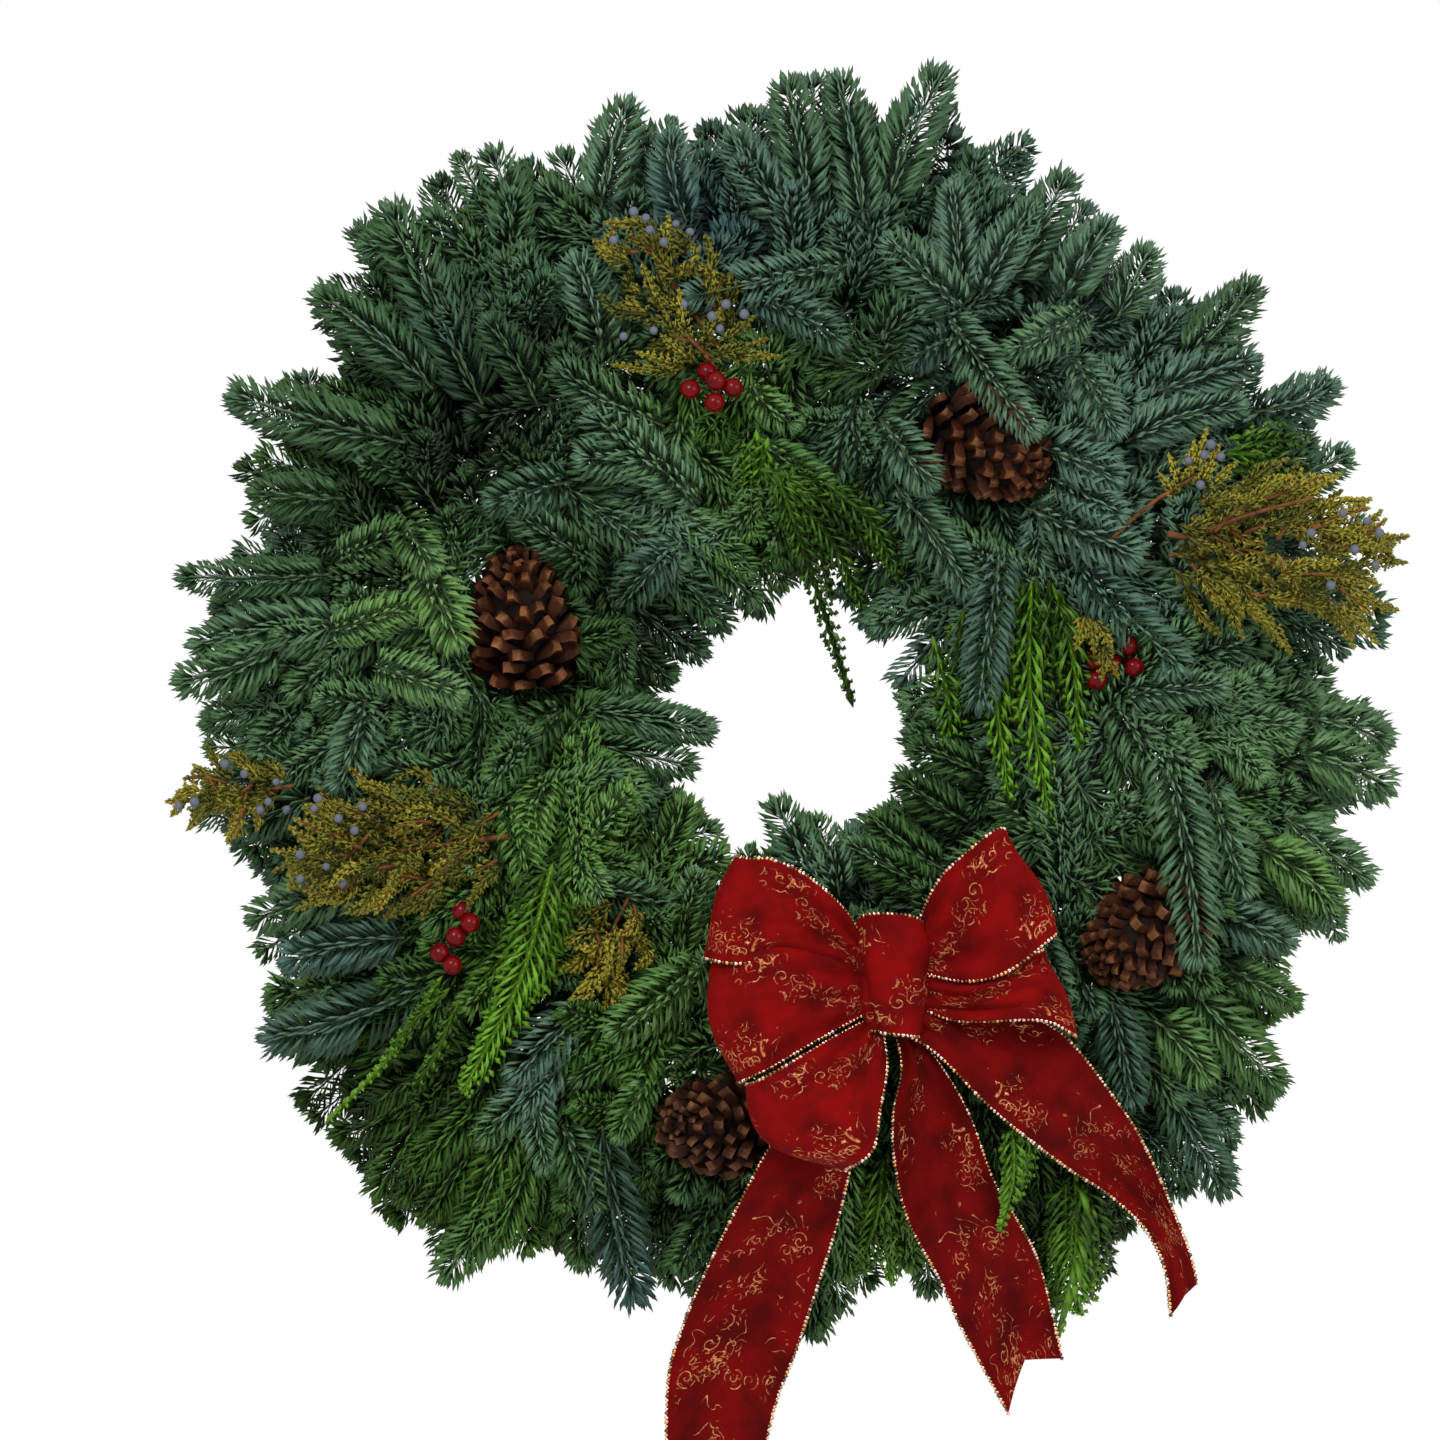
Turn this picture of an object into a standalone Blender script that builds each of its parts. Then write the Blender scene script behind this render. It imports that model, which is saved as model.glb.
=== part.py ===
"""Evergreen door wreath: fir bunches bound on a wire ring, with cedar and juniper sprays,
pine cones, berry picks and a velvet ribbon bow. It hangs from a wire loop at the top back.

Metres, +Z up, front towards -Y. The origin is where the hook carries the hanging loop.
Places on the wreath are given from the ring's centre, either as x and z or as a radius and
an angle seen from the front, and as a depth forward of the ring's own plane.
"""
import math

import bmesh
import bpy
from mathutils import Matrix, Vector
from mathutils.bvhtree import BVHTree

GAP = 0.0003                  # air left between two pieces that touch
SLIVER = 0.00006              # edges shorter than this are merged away

# ring, binding and hanging loop
RING_R = 0.185                # middle of the ring wire
RING_WIRE = 0.002             # its radius
STEM_R = 0.0055               # stem butt of a bunch, lying in front of the ring wire
STEM_DEPTH = RING_WIRE + GAP + STEM_R
BUNDLE_DEPTH = (STEM_DEPTH + STEM_R - RING_WIRE) / 2     # middle of ring and stems together
BIND_R = 0.00925              # radius of the binding wire's turns
BIND_WIRE = 0.0006
TURNS_PER_BUNCH = 2
LOOP_R = 0.011                # half the width of the hanging loop
LOOP_WIRE = 0.0009
LOOP_RISE = 0.045             # hook point above the middle of the ring wire
WRAP_R = 0.0112               # the loop's legs round ring and stems
LOOP_DEPTH = BUNDLE_DEPTH - WRAP_R
LEG_X = 0.0062                # half the distance between the two hooked legs
NECK_RISES = (0.033, 0.022)   # where the loop narrows towards its legs, above the ring wire
HOOK_TURN = 215               # degrees that a leg goes round ring and stems
HOOK_ROOM = Vector((0.021, 0.040, 0.012))    # half width, depth and headroom behind the top bunch
HOOK_ROOM_FRONT = 0.014       # its depth forward of the ring's plane
CENTRE = Vector((0.0, LOOP_DEPTH, -(RING_R + LOOP_RISE)))

# fir bunches, counted round from the top one
BUNCHES = 18
STEP = 360 / BUNCHES
SIDE_AIR = 0.35               # degrees left free at each side of a bunch
REACH_OUT = (0.324, 0.320, 0.325, 0.322, 0.317, 0.317, 0.318, 0.330, 0.318,
             0.320, 0.318, 0.322, 0.320, 0.317, 0.320, 0.323, 0.316, 0.327)
REACH_IN = 0.080
LOBE_OUT = 0.020              # how far a bunch's sides fall short of its middle
LOBE_IN = 0.006
CREST = 0.092                 # foliage in front of the ring's plane
BACK = -0.012                 # foliage behind it
CHANNEL = 0.014               # half the width of the groove that holds ring and stems
CHANNEL_DEPTH = 0.021
STEM_SPAN = 8.0               # degrees of arc to each side of a stem butt's middle
PICK_ANGLE = 2.5              # where wires reach the stems, clear of the binding turns
PICK_WIRE = 0.0009

# bow
KNOT_X, KNOT_Z = 0.055, -0.137
KNOT_SIZE = Vector((0.018, 0.013, 0.028))
TIE_WIRE = 0.0012

GREEN_FIR = (0.07, 0.16, 0.11)
GREEN_CEDAR = (0.10, 0.28, 0.04)
OLIVE_JUNIPER = (0.30, 0.26, 0.05)
BROWN_CONE = (0.16, 0.06, 0.03)
RED_BERRY = (0.45, 0.01, 0.02)
RED_VELVET = (0.30, 0.01, 0.01)
WIRE_GREEN = (0.03, 0.09, 0.04)
WIRE_STEEL = (0.45, 0.45, 0.44)


# ---------------------------------------------------------------- helpers

def flat(x, z, depth):
    """A point from x and z measured from the ring's centre, and a depth forward."""
    return CENTRE + Vector((x, -depth, z))


def polar(radius, degrees, depth):
    """The same from a radius and an angle, 90 degrees being the top."""
    a = math.radians(degrees)
    return flat(radius * math.cos(a), radius * math.sin(a), depth)


def material(name, colour, roughness, metallic=0.0):
    m = bpy.data.materials.new(name)
    m.use_nodes = True
    shader = m.node_tree.nodes["Principled BSDF"]
    shader.inputs["Base Color"].default_value = (*colour, 1.0)
    shader.inputs["Roughness"].default_value = roughness
    shader.inputs["Metallic"].default_value = metallic
    return m


def link(name, data, look):
    o = bpy.data.objects.new(name, data)
    bpy.context.scene.collection.objects.link(o)
    if look:
        data.materials.append(material(name, *look))
    return o


def mesh_object(name, bm, look=None, smooth=False):
    bmesh.ops.recalc_face_normals(bm, faces=bm.faces)
    mesh = bpy.data.meshes.new(name)
    bm.to_mesh(mesh)
    bm.free()
    if smooth:
        mesh.shade_smooth()
    return link(name, mesh, look)


def loft(name, sections, look=None, smooth=False):
    """A closed solid through equal-sized rings of points, with flat ends."""
    bm = bmesh.new()
    rings = [[bm.verts.new(p) for p in s] for s in sections]
    for a, b in zip(rings, rings[1:]):
        for i in range(len(a)):
            j = (i + 1) % len(a)
            bm.faces.new((a[i], a[j], b[j], b[i]))
    bm.faces.new(rings[0])
    bm.faces.new(rings[-1])
    bmesh.ops.triangulate(bm, faces=bm.faces)
    return mesh_object(name, bm, look, smooth)


def wire(name, points, radius, look=None, closed=False, sides=1):
    """A round wire along points; sides 0 gives four sides, 1 gives six."""
    curve = bpy.data.curves.new(name, "CURVE")
    curve.dimensions = "3D"
    curve.bevel_depth = radius
    curve.bevel_resolution = sides
    curve.use_fill_caps = True
    spline = curve.splines.new("POLY")
    spline.points.add(len(points) - 1)
    for p, q in zip(spline.points, points):
        p.co = (*q, 1.0)
    spline.use_cyclic_u = closed
    return link(name, curve, look)


def to_mesh(o):
    """Replace a curve object by its mesh, so that a Boolean can use it."""
    mesh = bpy.data.meshes.new_from_object(o.evaluated_get(bpy.context.evaluated_depsgraph_get()))
    new = bpy.data.objects.new(o.name + "_solid", mesh)
    bpy.context.scene.collection.objects.link(new)
    bpy.data.objects.remove(o)
    return new


def combine(target, tool, operation):
    """Join a tool solid to a target, or cut the target with it, and drop the tool."""
    m = target.modifiers.new(operation, "BOOLEAN")
    m.operation = operation
    m.solver = "EXACT"
    m.object = tool
    bpy.context.view_layer.update()
    bpy.context.view_layer.objects.active = target
    bpy.ops.object.modifier_apply(modifier=m.name)
    bpy.data.objects.remove(tool)


def smooth_out_slivers(o):
    """Merge the tiny edges that Boolean cuts leave, so that no facet is a needle."""
    bm = bmesh.new()
    bm.from_mesh(o.data)
    bmesh.ops.remove_doubles(bm, verts=bm.verts, dist=SLIVER)
    bmesh.ops.dissolve_degenerate(bm, dist=SLIVER, edges=bm.edges)
    bmesh.ops.dissolve_limit(bm, angle_limit=math.radians(0.2), verts=bm.verts, edges=bm.edges)
    bmesh.ops.triangulate(bm, faces=bm.faces)
    bm.to_mesh(o.data)
    bm.free()


def ball(name, centre, radius, look=None, detail=2, stretch=(1, 1, 1)):
    bm = bmesh.new()
    place = Matrix.Translation(centre) @ Matrix.Diagonal((*stretch, 1.0))
    bmesh.ops.create_icosphere(bm, subdivisions=detail, radius=radius, matrix=place)
    return mesh_object(name, bm, look, smooth=True)


def tree_of(objects):
    """One search tree over the world-space meshes of several objects."""
    points, faces = [], []
    graph = bpy.context.evaluated_depsgraph_get()
    for o in objects:
        e = o.evaluated_get(graph)
        mesh = e.to_mesh()
        mesh.calc_loop_triangles()
        start = len(points)
        points += [o.matrix_world @ v.co for v in mesh.vertices]
        faces += [[start + i for i in t.vertices] for t in mesh.loop_triangles]
        e.to_mesh_clear()
    return BVHTree.FromPolygons(points, faces)


def cover_depth(tree, x, z):
    """Depth of the foremost surface at x, z, or None over empty air."""
    start = flat(x, z, 0.5)
    hit = tree.ray_cast(start, Vector((0, 1, 0)))[0]
    return None if hit is None else CENTRE.y - hit.y


def deepest(tree, x, z, around):
    """The foremost surface within a small distance of x, z; 0 over empty air."""
    spots = [(0, 0), (around, 0), (-around, 0), (0, around), (0, -around)]
    found = [cover_depth(tree, x + a, z + b) for a, b in spots]
    return max([d for d in found if d is not None], default=0.0)


def seat(objects, ground, start):
    """Move a group back from start metres forward until it rests a gap away from ground."""
    tree = tree_of(ground)
    own = [(o, [v.co.copy() for v in o.data.vertices]) for o in objects]

    def move(forward):
        for o, points in own:
            for v, p in zip(o.data.vertices, points):
                v.co = p + Vector((0, -forward, 0))
            o.data.update()

    low, high = -0.03, start
    while high - low > 0.00005:
        middle = (low + high) / 2
        move(middle)
        bpy.context.view_layer.update()
        if tree_of(objects).overlap(tree):
            low = middle
        else:
            high = middle
    move(high + GAP)
    return high + GAP


# ---------------------------------------------------------------- frame

def wire_ring():
    count = 40
    points = [polar(RING_R, 360 * i / count, 0) for i in range(count)]
    look = (WIRE_GREEN, 0.5, 0.6)
    return wire("wire_ring", points, RING_WIRE, look, closed=True)


def binding_wire():
    per_turn = 8
    count = BUNCHES * TURNS_PER_BUNCH * per_turn
    points = []
    for i in range(count):
        turn = 2 * math.pi * i / per_turn
        angle = 90 + STEP / 4 + 360 * i / count
        points.append(polar(RING_R + BIND_R * math.sin(turn), angle,
                            BUNDLE_DEPTH + BIND_R * math.cos(turn)))
    look = (WIRE_GREEN, 0.45, 0.7)
    return wire("binding_wire", points, BIND_WIRE, look, closed=True, sides=0)


def hanging_loop():
    """A loop whose two legs hook round ring and stems, one each side of the top neck."""
    def leg(side):
        x = side * LEG_X
        hook = []
        for i in range(9):
            a = math.radians(180 + HOOK_TURN * i / 8)
            hook.append(flat(x, RING_R + WRAP_R * math.sin(a), BUNDLE_DEPTH + WRAP_R * math.cos(a)))
        neck = [flat(side * LOOP_R, RING_R + NECK_RISES[0], LOOP_DEPTH),
                flat(side * LOOP_R * 0.85, RING_R + NECK_RISES[1], LOOP_DEPTH)]
        return neck + hook

    middle = LOOP_RISE + LOOP_WIRE - LOOP_R
    arc = []
    for i in range(1, 8):
        a = math.pi * i / 8
        arc.append(flat(LOOP_R * math.cos(a), RING_R + middle + LOOP_R * math.sin(a), LOOP_DEPTH))
    points = leg(1)[::-1] + arc + leg(-1)
    return wire("hanging_loop", points, LOOP_WIRE, (WIRE_STEEL, 0.35, 1.0))


# ---------------------------------------------------------------- greenery

def bunch_section(reach, inner, degrees):
    """One slice of a bunch: foliage outline with the groove for ring and stems."""
    outline = (
        (inner, 0.034), (inner + 0.014, 0.006), (0.140, -0.010),
        (RING_R - CHANNEL, BACK), (RING_R - CHANNEL, CHANNEL_DEPTH),
        (RING_R + CHANNEL, CHANNEL_DEPTH), (RING_R + CHANNEL, BACK),
        (0.240, -0.010), (reach - 0.030, -0.004), (reach, 0.020), (reach - 0.022, 0.046),
        (0.262, 0.072), (0.212, CREST), (0.162, CREST - 0.002), (inner + 0.030, 0.070),
    )
    return [polar(r, degrees, d) for r, d in outline]


def fir_bunch(index):
    middle = 90 + STEP * index
    half = STEP / 2 - SIDE_AIR
    sections = []
    for share in (-1, -0.5, 0, 0.5, 1):
        fall = share * share
        sections.append(bunch_section(REACH_OUT[index] - LOBE_OUT * fall,
                                      REACH_IN + LOBE_IN * fall, middle + half * share))
    bunch = loft(f"fir_bunch_{index + 1:02d}", sections, (GREEN_FIR, 0.85), smooth=False)

    arc = [middle + STEM_SPAN * s for s in (-1, -0.5, 0, 0.5, 1)]
    stem = to_mesh(wire("stem", [polar(RING_R, a, STEM_DEPTH) for a in arc], STEM_R))
    neck = to_mesh(wire("neck", [polar(RING_R, middle, STEM_DEPTH),
                                 polar(RING_R, middle, CHANNEL_DEPTH + 0.006)], 0.0032))
    combine(stem, neck, "UNION")
    combine(bunch, stem, "UNION")
    return bunch


def nearest_bunch(degrees):
    return round((degrees - 90) / STEP) % BUNCHES


def hook_pocket(bunch):
    """Room behind the top bunch for the loop and the tip of a hook."""
    low = flat(-HOOK_ROOM.x, RING_R + CHANNEL - 0.002, 0)
    high = flat(HOOK_ROOM.x, RING_R + LOOP_RISE + HOOK_ROOM.z, 0)
    bm = bmesh.new()
    bmesh.ops.create_cube(bm, size=1.0)
    size = Vector((high.x - low.x, HOOK_ROOM.y, high.z - low.z))
    where = Vector(((low.x + high.x) / 2, CENTRE.y - HOOK_ROOM_FRONT + HOOK_ROOM.y / 2,
                    (low.z + high.z) / 2))
    bmesh.ops.transform(bm, verts=bm.verts,
                        matrix=Matrix.Translation(where) @ Matrix.Diagonal((*size, 1.0)))
    combine(bunch, mesh_object("pocket", bm), "DIFFERENCE")


def spray(name, ground, path, widths, thick, look):
    """A soft lobe of foliage lying over what is behind it, along x, z points."""
    tree = tree_of(ground)
    depths = [deepest(tree, x, z, w * 0.35) + thick for (x, z), w in zip(path, widths)]
    sections = []
    for i, ((x, z), w) in enumerate(zip(path, widths)):
        a, b = path[max(i - 1, 0)], path[min(i + 1, len(path) - 1)]
        across = Vector((-(b[1] - a[1]), b[0] - a[0])).normalized()
        rim = []
        for s, t in ((-1, 0), (-0.6, 0.8), (0.6, 0.8), (1, 0), (0.6, -0.8), (-0.6, -0.8)):
            rim.append(flat(x + across.x * w * s, z + across.y * w * s,
                            depths[i] + thick / 2 * t))
        sections.append(rim)
    lobe = loft(name, sections, look, smooth=True)
    seat([lobe], ground, 0.12)
    return lobe


# name, x and z points from stem to tip, half widths, thickness
CEDARS = (
    ("cedar_top_fan", ((0.012, 0.140), (0.018, 0.110), (0.026, 0.084), (0.032, 0.062)),
     (0.010, 0.024, 0.028, 0.012), 0.010),
    ("cedar_right_spray", ((0.122, 0.070), (0.118, 0.035), (0.116, -0.005), (0.120, -0.050)),
     (0.010, 0.026, 0.026, 0.010), 0.010),
    ("cedar_left_frond", ((-0.118, -0.086), (-0.136, -0.120), (-0.152, -0.160), (-0.163, -0.192)),
     (0.010, 0.021, 0.018, 0.008), 0.009),
    ("cedar_left_trail", ((-0.180, -0.150), (-0.196, -0.170), (-0.212, -0.190), (-0.224, -0.206)),
     (0.006, 0.012, 0.012, 0.006), 0.007),
    ("cedar_under_bow", ((0.052, -0.232), (0.050, -0.256), (0.048, -0.280), (0.046, -0.298)),
     (0.008, 0.017, 0.017, 0.008), 0.008),
    ("cedar_low_right", ((0.146, -0.238), (0.147, -0.262), (0.146, -0.290), (0.142, -0.315)),
     (0.008, 0.020, 0.020, 0.010), 0.008),
    ("cedar_right_tips", ((0.212, 0.118), (0.232, 0.128), (0.252, 0.132), (0.268, 0.132)),
     (0.007, 0.015, 0.015, 0.007), 0.007),
)

JUNIPERS = (
    ("juniper_top", ((-0.030, 0.178), (-0.048, 0.194), (-0.066, 0.216), (-0.078, 0.244)),
     (0.012, 0.030, 0.026, 0.014), 0.016),
    ("juniper_right", ((0.190, 0.086), (0.222, 0.078), (0.262, 0.072), (0.300, 0.064)),
     (0.014, 0.036, 0.046, 0.028), 0.020),
    ("juniper_left", ((-0.140, -0.066), (-0.170, -0.070), (-0.210, -0.072), (-0.246, -0.080)),
     (0.012, 0.034, 0.036, 0.016), 0.018),
    ("juniper_left_edge", ((-0.248, -0.040), (-0.266, -0.042), (-0.284, -0.045), (-0.302, -0.049)),
     (0.008, 0.015, 0.015, 0.008), 0.010),
    ("juniper_low_tuft", ((-0.080, -0.098), (-0.088, -0.110), (-0.096, -0.126), (-0.102, -0.142)),
     (0.007, 0.014, 0.014, 0.007), 0.010),
)


# ---------------------------------------------------------------- cones and berries

# name, x and z of the middle, direction of the tip, length and width
POCKET_AIR = 0.0011           # on a cone's length and width, so that its pocket clears it
CONES = (
    ("left", -0.135, 0.043, (-0.12, -0.35, 0.92), 0.078, 0.058),
    ("upper_right", 0.101, 0.127, (0.80, -0.40, -0.42), 0.074, 0.058),
    ("right", 0.176, -0.116, (-0.70, -0.45, -0.50), 0.072, 0.060),
    ("bottom", -0.040, -0.209, (-0.62, -0.76, 0.05), 0.070, 0.056),
)

CONE_OUTLINE = ((0.0, 0.30), (0.08, 0.78), (0.28, 1.0), (0.55, 0.90), (0.80, 0.62), (1.0, 0.22))


def cone_solid(name, middle, tip, length, width, look=None):
    turn = Vector(tip).normalized().to_track_quat("Z", "Y").to_matrix()
    sides = 10
    sections = []
    for along, share in CONE_OUTLINE:
        ring = []
        for i in range(sides):
            a = 2 * math.pi * i / sides
            local = Vector((math.cos(a) * share * width / 2, math.sin(a) * share * width / 2,
                            (along - 0.5) * length))
            ring.append(middle + turn @ local)
        sections.append(ring)
    return loft(name, sections, look, smooth=True)


def pine_cone(name, x, z, tip, length, width, bunches):
    """A cone half sunk in the foliage, in a pocket that clears it all round."""
    middle = flat(x, z, deepest(tree_of(bunches), x, z, 0) - 0.004)
    cone = cone_solid(f"pine_cone_{name}", middle, tip, length, width, (BROWN_CONE, 0.6))
    reach = tree_of([cone])
    for bunch in bunches:
        if tree_of([bunch]).overlap(reach):
            grown = cone_solid("pocket", middle, tip, length + POCKET_AIR, width + POCKET_AIR)
            combine(bunch, grown, "DIFFERENCE")
    return cone


def pick_line(x, z, depth):
    """Where a wire from x, z ends on the stems, and the bunch that it runs through."""
    angle = math.degrees(math.atan2(z, x))
    index = nearest_bunch(angle)
    middle = 90 + STEP * index
    off = (angle - middle + 180) % 360 - 180
    foot = polar(RING_R, middle + math.copysign(PICK_ANGLE, off), STEM_DEPTH + STEM_R + GAP)
    return foot, flat(x, z, depth), index


def bore(bunch, foot, top, radius):
    """A hole through a bunch for a wire between foot and top."""
    along = (top - foot).normalized()
    tool = to_mesh(wire("bore", [foot - along * GAP * 0.5, top + along * 0.05], radius + GAP * 1.6))
    combine(bunch, tool, "DIFFERENCE")


def end_under(solid, foot, top, radius):
    """Where a wire from foot towards top stops, with its rim a gap short of a solid."""
    along = (top - foot).normalized()
    hit, normal = tree_of([solid]).ray_cast(foot, along)[:2]
    slope = max(abs(normal.dot(along)), 0.3)
    return hit - along * (GAP + radius * 1.1 * math.sqrt(1 - slope * slope) / slope)


def cone_wire(name, cone, bunches):
    """The twisted wire from a cone's underside down to the stems."""
    centre = sum((v.co for v in cone.data.vertices), Vector()) / len(cone.data.vertices)
    place = centre - CENTRE
    foot, top, index = pick_line(place.x, place.z, -place.y)
    end = end_under(cone, foot, top, PICK_WIRE)
    rod = wire(f"cone_wire_{name}", [foot, end], PICK_WIRE, (WIRE_STEEL, 0.4, 0.9))
    bore(bunches[index], foot, end, PICK_WIRE)
    return rod


# name, cluster middle and the five berries round it
BERRY_R = 0.005
PICKS = (
    ("top", -0.038, 0.162, ((0.009, 0.003), (-0.011, -0.002), (0.002, -0.008), (-0.001, 0.009),
                            (0.013, -0.008))),
    ("left", -0.167, -0.118, ((0.004, 0.013), (0.008, 0.003), (-0.002, 0.001), (-0.008, -0.007),
                              (0.002, -0.013))),
    ("right", 0.167, 0.023, ((0.009, 0.009), (-0.001, 0.001), (-0.010, -0.003), (0.012, -0.002),
                             (-0.001, -0.011))),
)


def berry_pick(name, x, z, spots, bunches, ground):
    """Five berries on wire stems, twisted into one that goes down to the stems."""
    tree = tree_of(ground)
    centres = []
    for a, b in spots:
        depth = deepest(tree, x + a, z + b, BERRY_R) + BERRY_R + GAP
        centres.append((x + a, z + b, depth))
    front = max(c[2] for c in centres)
    centres = [flat(a, b, max(d, front - 0.006)) for a, b, d in centres]
    foot, top, index = pick_line(x, z, front)
    along = (top - foot).normalized()
    knot = top - along * 0.001
    pick = ball(f"berry_pick_{name}", knot, 0.0022, (RED_BERRY, 0.15))
    combine(pick, to_mesh(wire("stem", [foot, knot], PICK_WIRE)), "UNION")
    for c in centres:
        combine(pick, ball("berry", c, BERRY_R), "UNION")
        combine(pick, to_mesh(wire("stalk", [knot, c], 0.0006)), "UNION")
    bore(bunches[index], foot, top, PICK_WIRE)
    return pick


# ---------------------------------------------------------------- bow

# name, direction, length, half width and half thickness at the end, forward rise of the end
LOOPS = (
    ("upper_left", 156, 0.100, 0.028, 0.020, 0.010),
    ("middle_left", 196, 0.108, 0.028, 0.020, 0.006),
    ("bottom", 248, 0.112, 0.029, 0.018, 0.017),
    ("upper_right", 40, 0.094, 0.028, 0.020, 0.010),
    ("lower_right", 354, 0.090, 0.027, 0.018, 0.006),
)

# name, x and z points from the knot's middle, half widths, layer behind the knot's middle
TAILS = (
    ("left", ((-0.010, -0.018), (-0.030, -0.056), (-0.050, -0.098), (-0.072, -0.150),
              (-0.083, -0.185), (-0.092, -0.232), (-0.094, -0.286)),
     (0.007, 0.018, 0.026, 0.030, 0.031, 0.028, 0.026), 0.0110),
    ("middle", ((0.008, -0.018), (0.016, -0.056), (0.024, -0.092), (0.042, -0.135),
                (0.058, -0.168), (0.072, -0.208)),
     (0.006, 0.014, 0.022, 0.026, 0.028, 0.026), 0.0060),
    ("right", ((0.010, -0.016), (0.046, -0.046), (0.084, -0.076), (0.118, -0.112),
               (0.140, -0.142), (0.149, -0.174)),
     (0.006, 0.020, 0.028, 0.026, 0.020, 0.010), -0.0010),
)
TAIL_THICK = 0.003
TAIL_AIR = 0.006              # above what a tail lies on
TAIL_DROP = 0.022             # most that a tail falls between two of its points
TAIL_LOW = 0.035              # depth at which a tail hangs clear below the greenery
KNOT_DEPTH = 0.118


def bow_loop(name, degrees, length, half_w, half_t, rise):
    a = math.radians(degrees)
    out, across = Vector((math.cos(a), math.sin(a))), Vector((-math.sin(a), math.cos(a)))
    sections = []
    for share in (0.0, 0.25, 0.5, 0.75, 0.92, 1.0):
        reach = 0.012 + (length - 0.012) * share
        wide = min(0.33 * reach, half_w) * (0.8 if share == 1.0 else 1.0)
        deep = (0.006 + (half_t - 0.006) * min(1, share * 1.6)) * (0.55 if share == 1.0 else 1.0)
        ring = []
        for s, t in ((-1, -0.5), (-1, 0.5), (-0.6, 1), (0.6, 1), (1, 0.5), (1, -0.5), (0.6, -1),
                     (-0.6, -1)):
            ring.append(flat(KNOT_X + out.x * reach + across.x * wide * s,
                             KNOT_Z + out.y * reach + across.y * wide * s,
                             KNOT_DEPTH + rise * share + deep * t))
        sections.append(ring)
    return loft(f"bow_loop_{name}", sections, (RED_VELVET, 0.8), smooth=True)


def bow_tail(name, path, widths, layer, tree):
    sections = []
    depths = []
    for (x, z), w in zip(path, widths):
        free = deepest(tree, KNOT_X + x, KNOT_Z + z, w) + TAIL_AIR
        depths.append(free)
    for i, ((x, z), w) in enumerate(zip(path, widths)):
        a, b = path[max(i - 1, 0)], path[min(i + 1, len(path) - 1)]
        across = Vector((-(b[1] - a[1]), b[0] - a[0])).normalized()
        high = KNOT_DEPTH - layer
        if i > 1:
            high = min(high, max(depths[i], depths[i - 1] - TAIL_DROP, TAIL_LOW))
        ring = [flat(KNOT_X + x + across.x * w * s, KNOT_Z + z + across.y * w * s,
                     high + TAIL_THICK / 2 * t)
                for s, t in ((-1, -1), (-1, 1), (1, 1), (1, -1))]
        sections.append(ring)
    return loft(f"bow_tail_{name}", sections, (RED_VELVET, 0.8), smooth=True)


def knot_solid(name, extra, look=None):
    size = KNOT_SIZE
    grown = ((size.x + extra) / size.x, (size.y + extra) / size.x, (size.z + extra) / size.x)
    return ball(name, flat(KNOT_X, KNOT_Z, KNOT_DEPTH), size.x, look, stretch=grown)


def bow(bunches, ground):
    """Knot band, loops and tails, seated as one group, then the wire that ties it on."""
    tree = tree_of(ground)
    knot = knot_solid("bow_knot", 0.0, (RED_VELVET, 0.8))
    pieces = [knot]
    for row in LOOPS:
        pieces.append(bow_loop(*row))
    for row in TAILS:
        pieces.append(bow_tail(*row, tree))
    for piece in pieces[1:]:
        combine(piece, knot_solid("round_knot", GAP * 1.3), "DIFFERENCE")
    forward = seat(pieces, ground, 0.08)
    foot, top, index = pick_line(KNOT_X, KNOT_Z, KNOT_DEPTH + forward)
    end = end_under(knot, foot, top, TIE_WIRE)
    tie = wire("bow_tie_wire", [foot, end], TIE_WIRE, (WIRE_STEEL, 0.4, 0.9))
    bore(bunches[index], foot, end, TIE_WIRE)
    return pieces + [tie]


# ---------------------------------------------------------------- wreath

def build():
    for o in list(bpy.data.objects):
        bpy.data.objects.remove(o)
    wire_ring()
    binding_wire()
    hanging_loop()
    bunches = [fir_bunch(i) for i in range(BUNCHES)]
    hook_pocket(bunches[0])
    placed = bunches + [pine_cone(*row, bunches) for row in CONES]
    for row in JUNIPERS:
        placed.append(spray(row[0], placed, *row[1:], (OLIVE_JUNIPER, 0.8)))
    for row in CEDARS:
        placed.append(spray(row[0], placed, *row[1:], (GREEN_CEDAR, 0.7)))
    for row in PICKS:
        placed.append(berry_pick(*row, bunches, placed))
    bow(bunches, placed)
    for name, *_ in CONES:
        cone_wire(name, bpy.data.objects[f"pine_cone_{name}"], bunches)
    for o in bpy.data.objects:
        if o.type == "MESH":
            smooth_out_slivers(o)


build()
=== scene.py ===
"""Looks of an evergreen door wreath: fir, cedar and juniper bound on a wire ring, pine cones,
berry picks and a velvet ribbon bow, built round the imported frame.

Places on the wreath are seen from the front and measured from the middle of the ring: either
x and z, or a radius and an angle with 90 degrees at the top, and a depth forward of the ring.
"""
import math

import bmesh
import bpy
import numpy as np
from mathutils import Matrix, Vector
from mathutils.bvhtree import BVHTree


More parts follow.
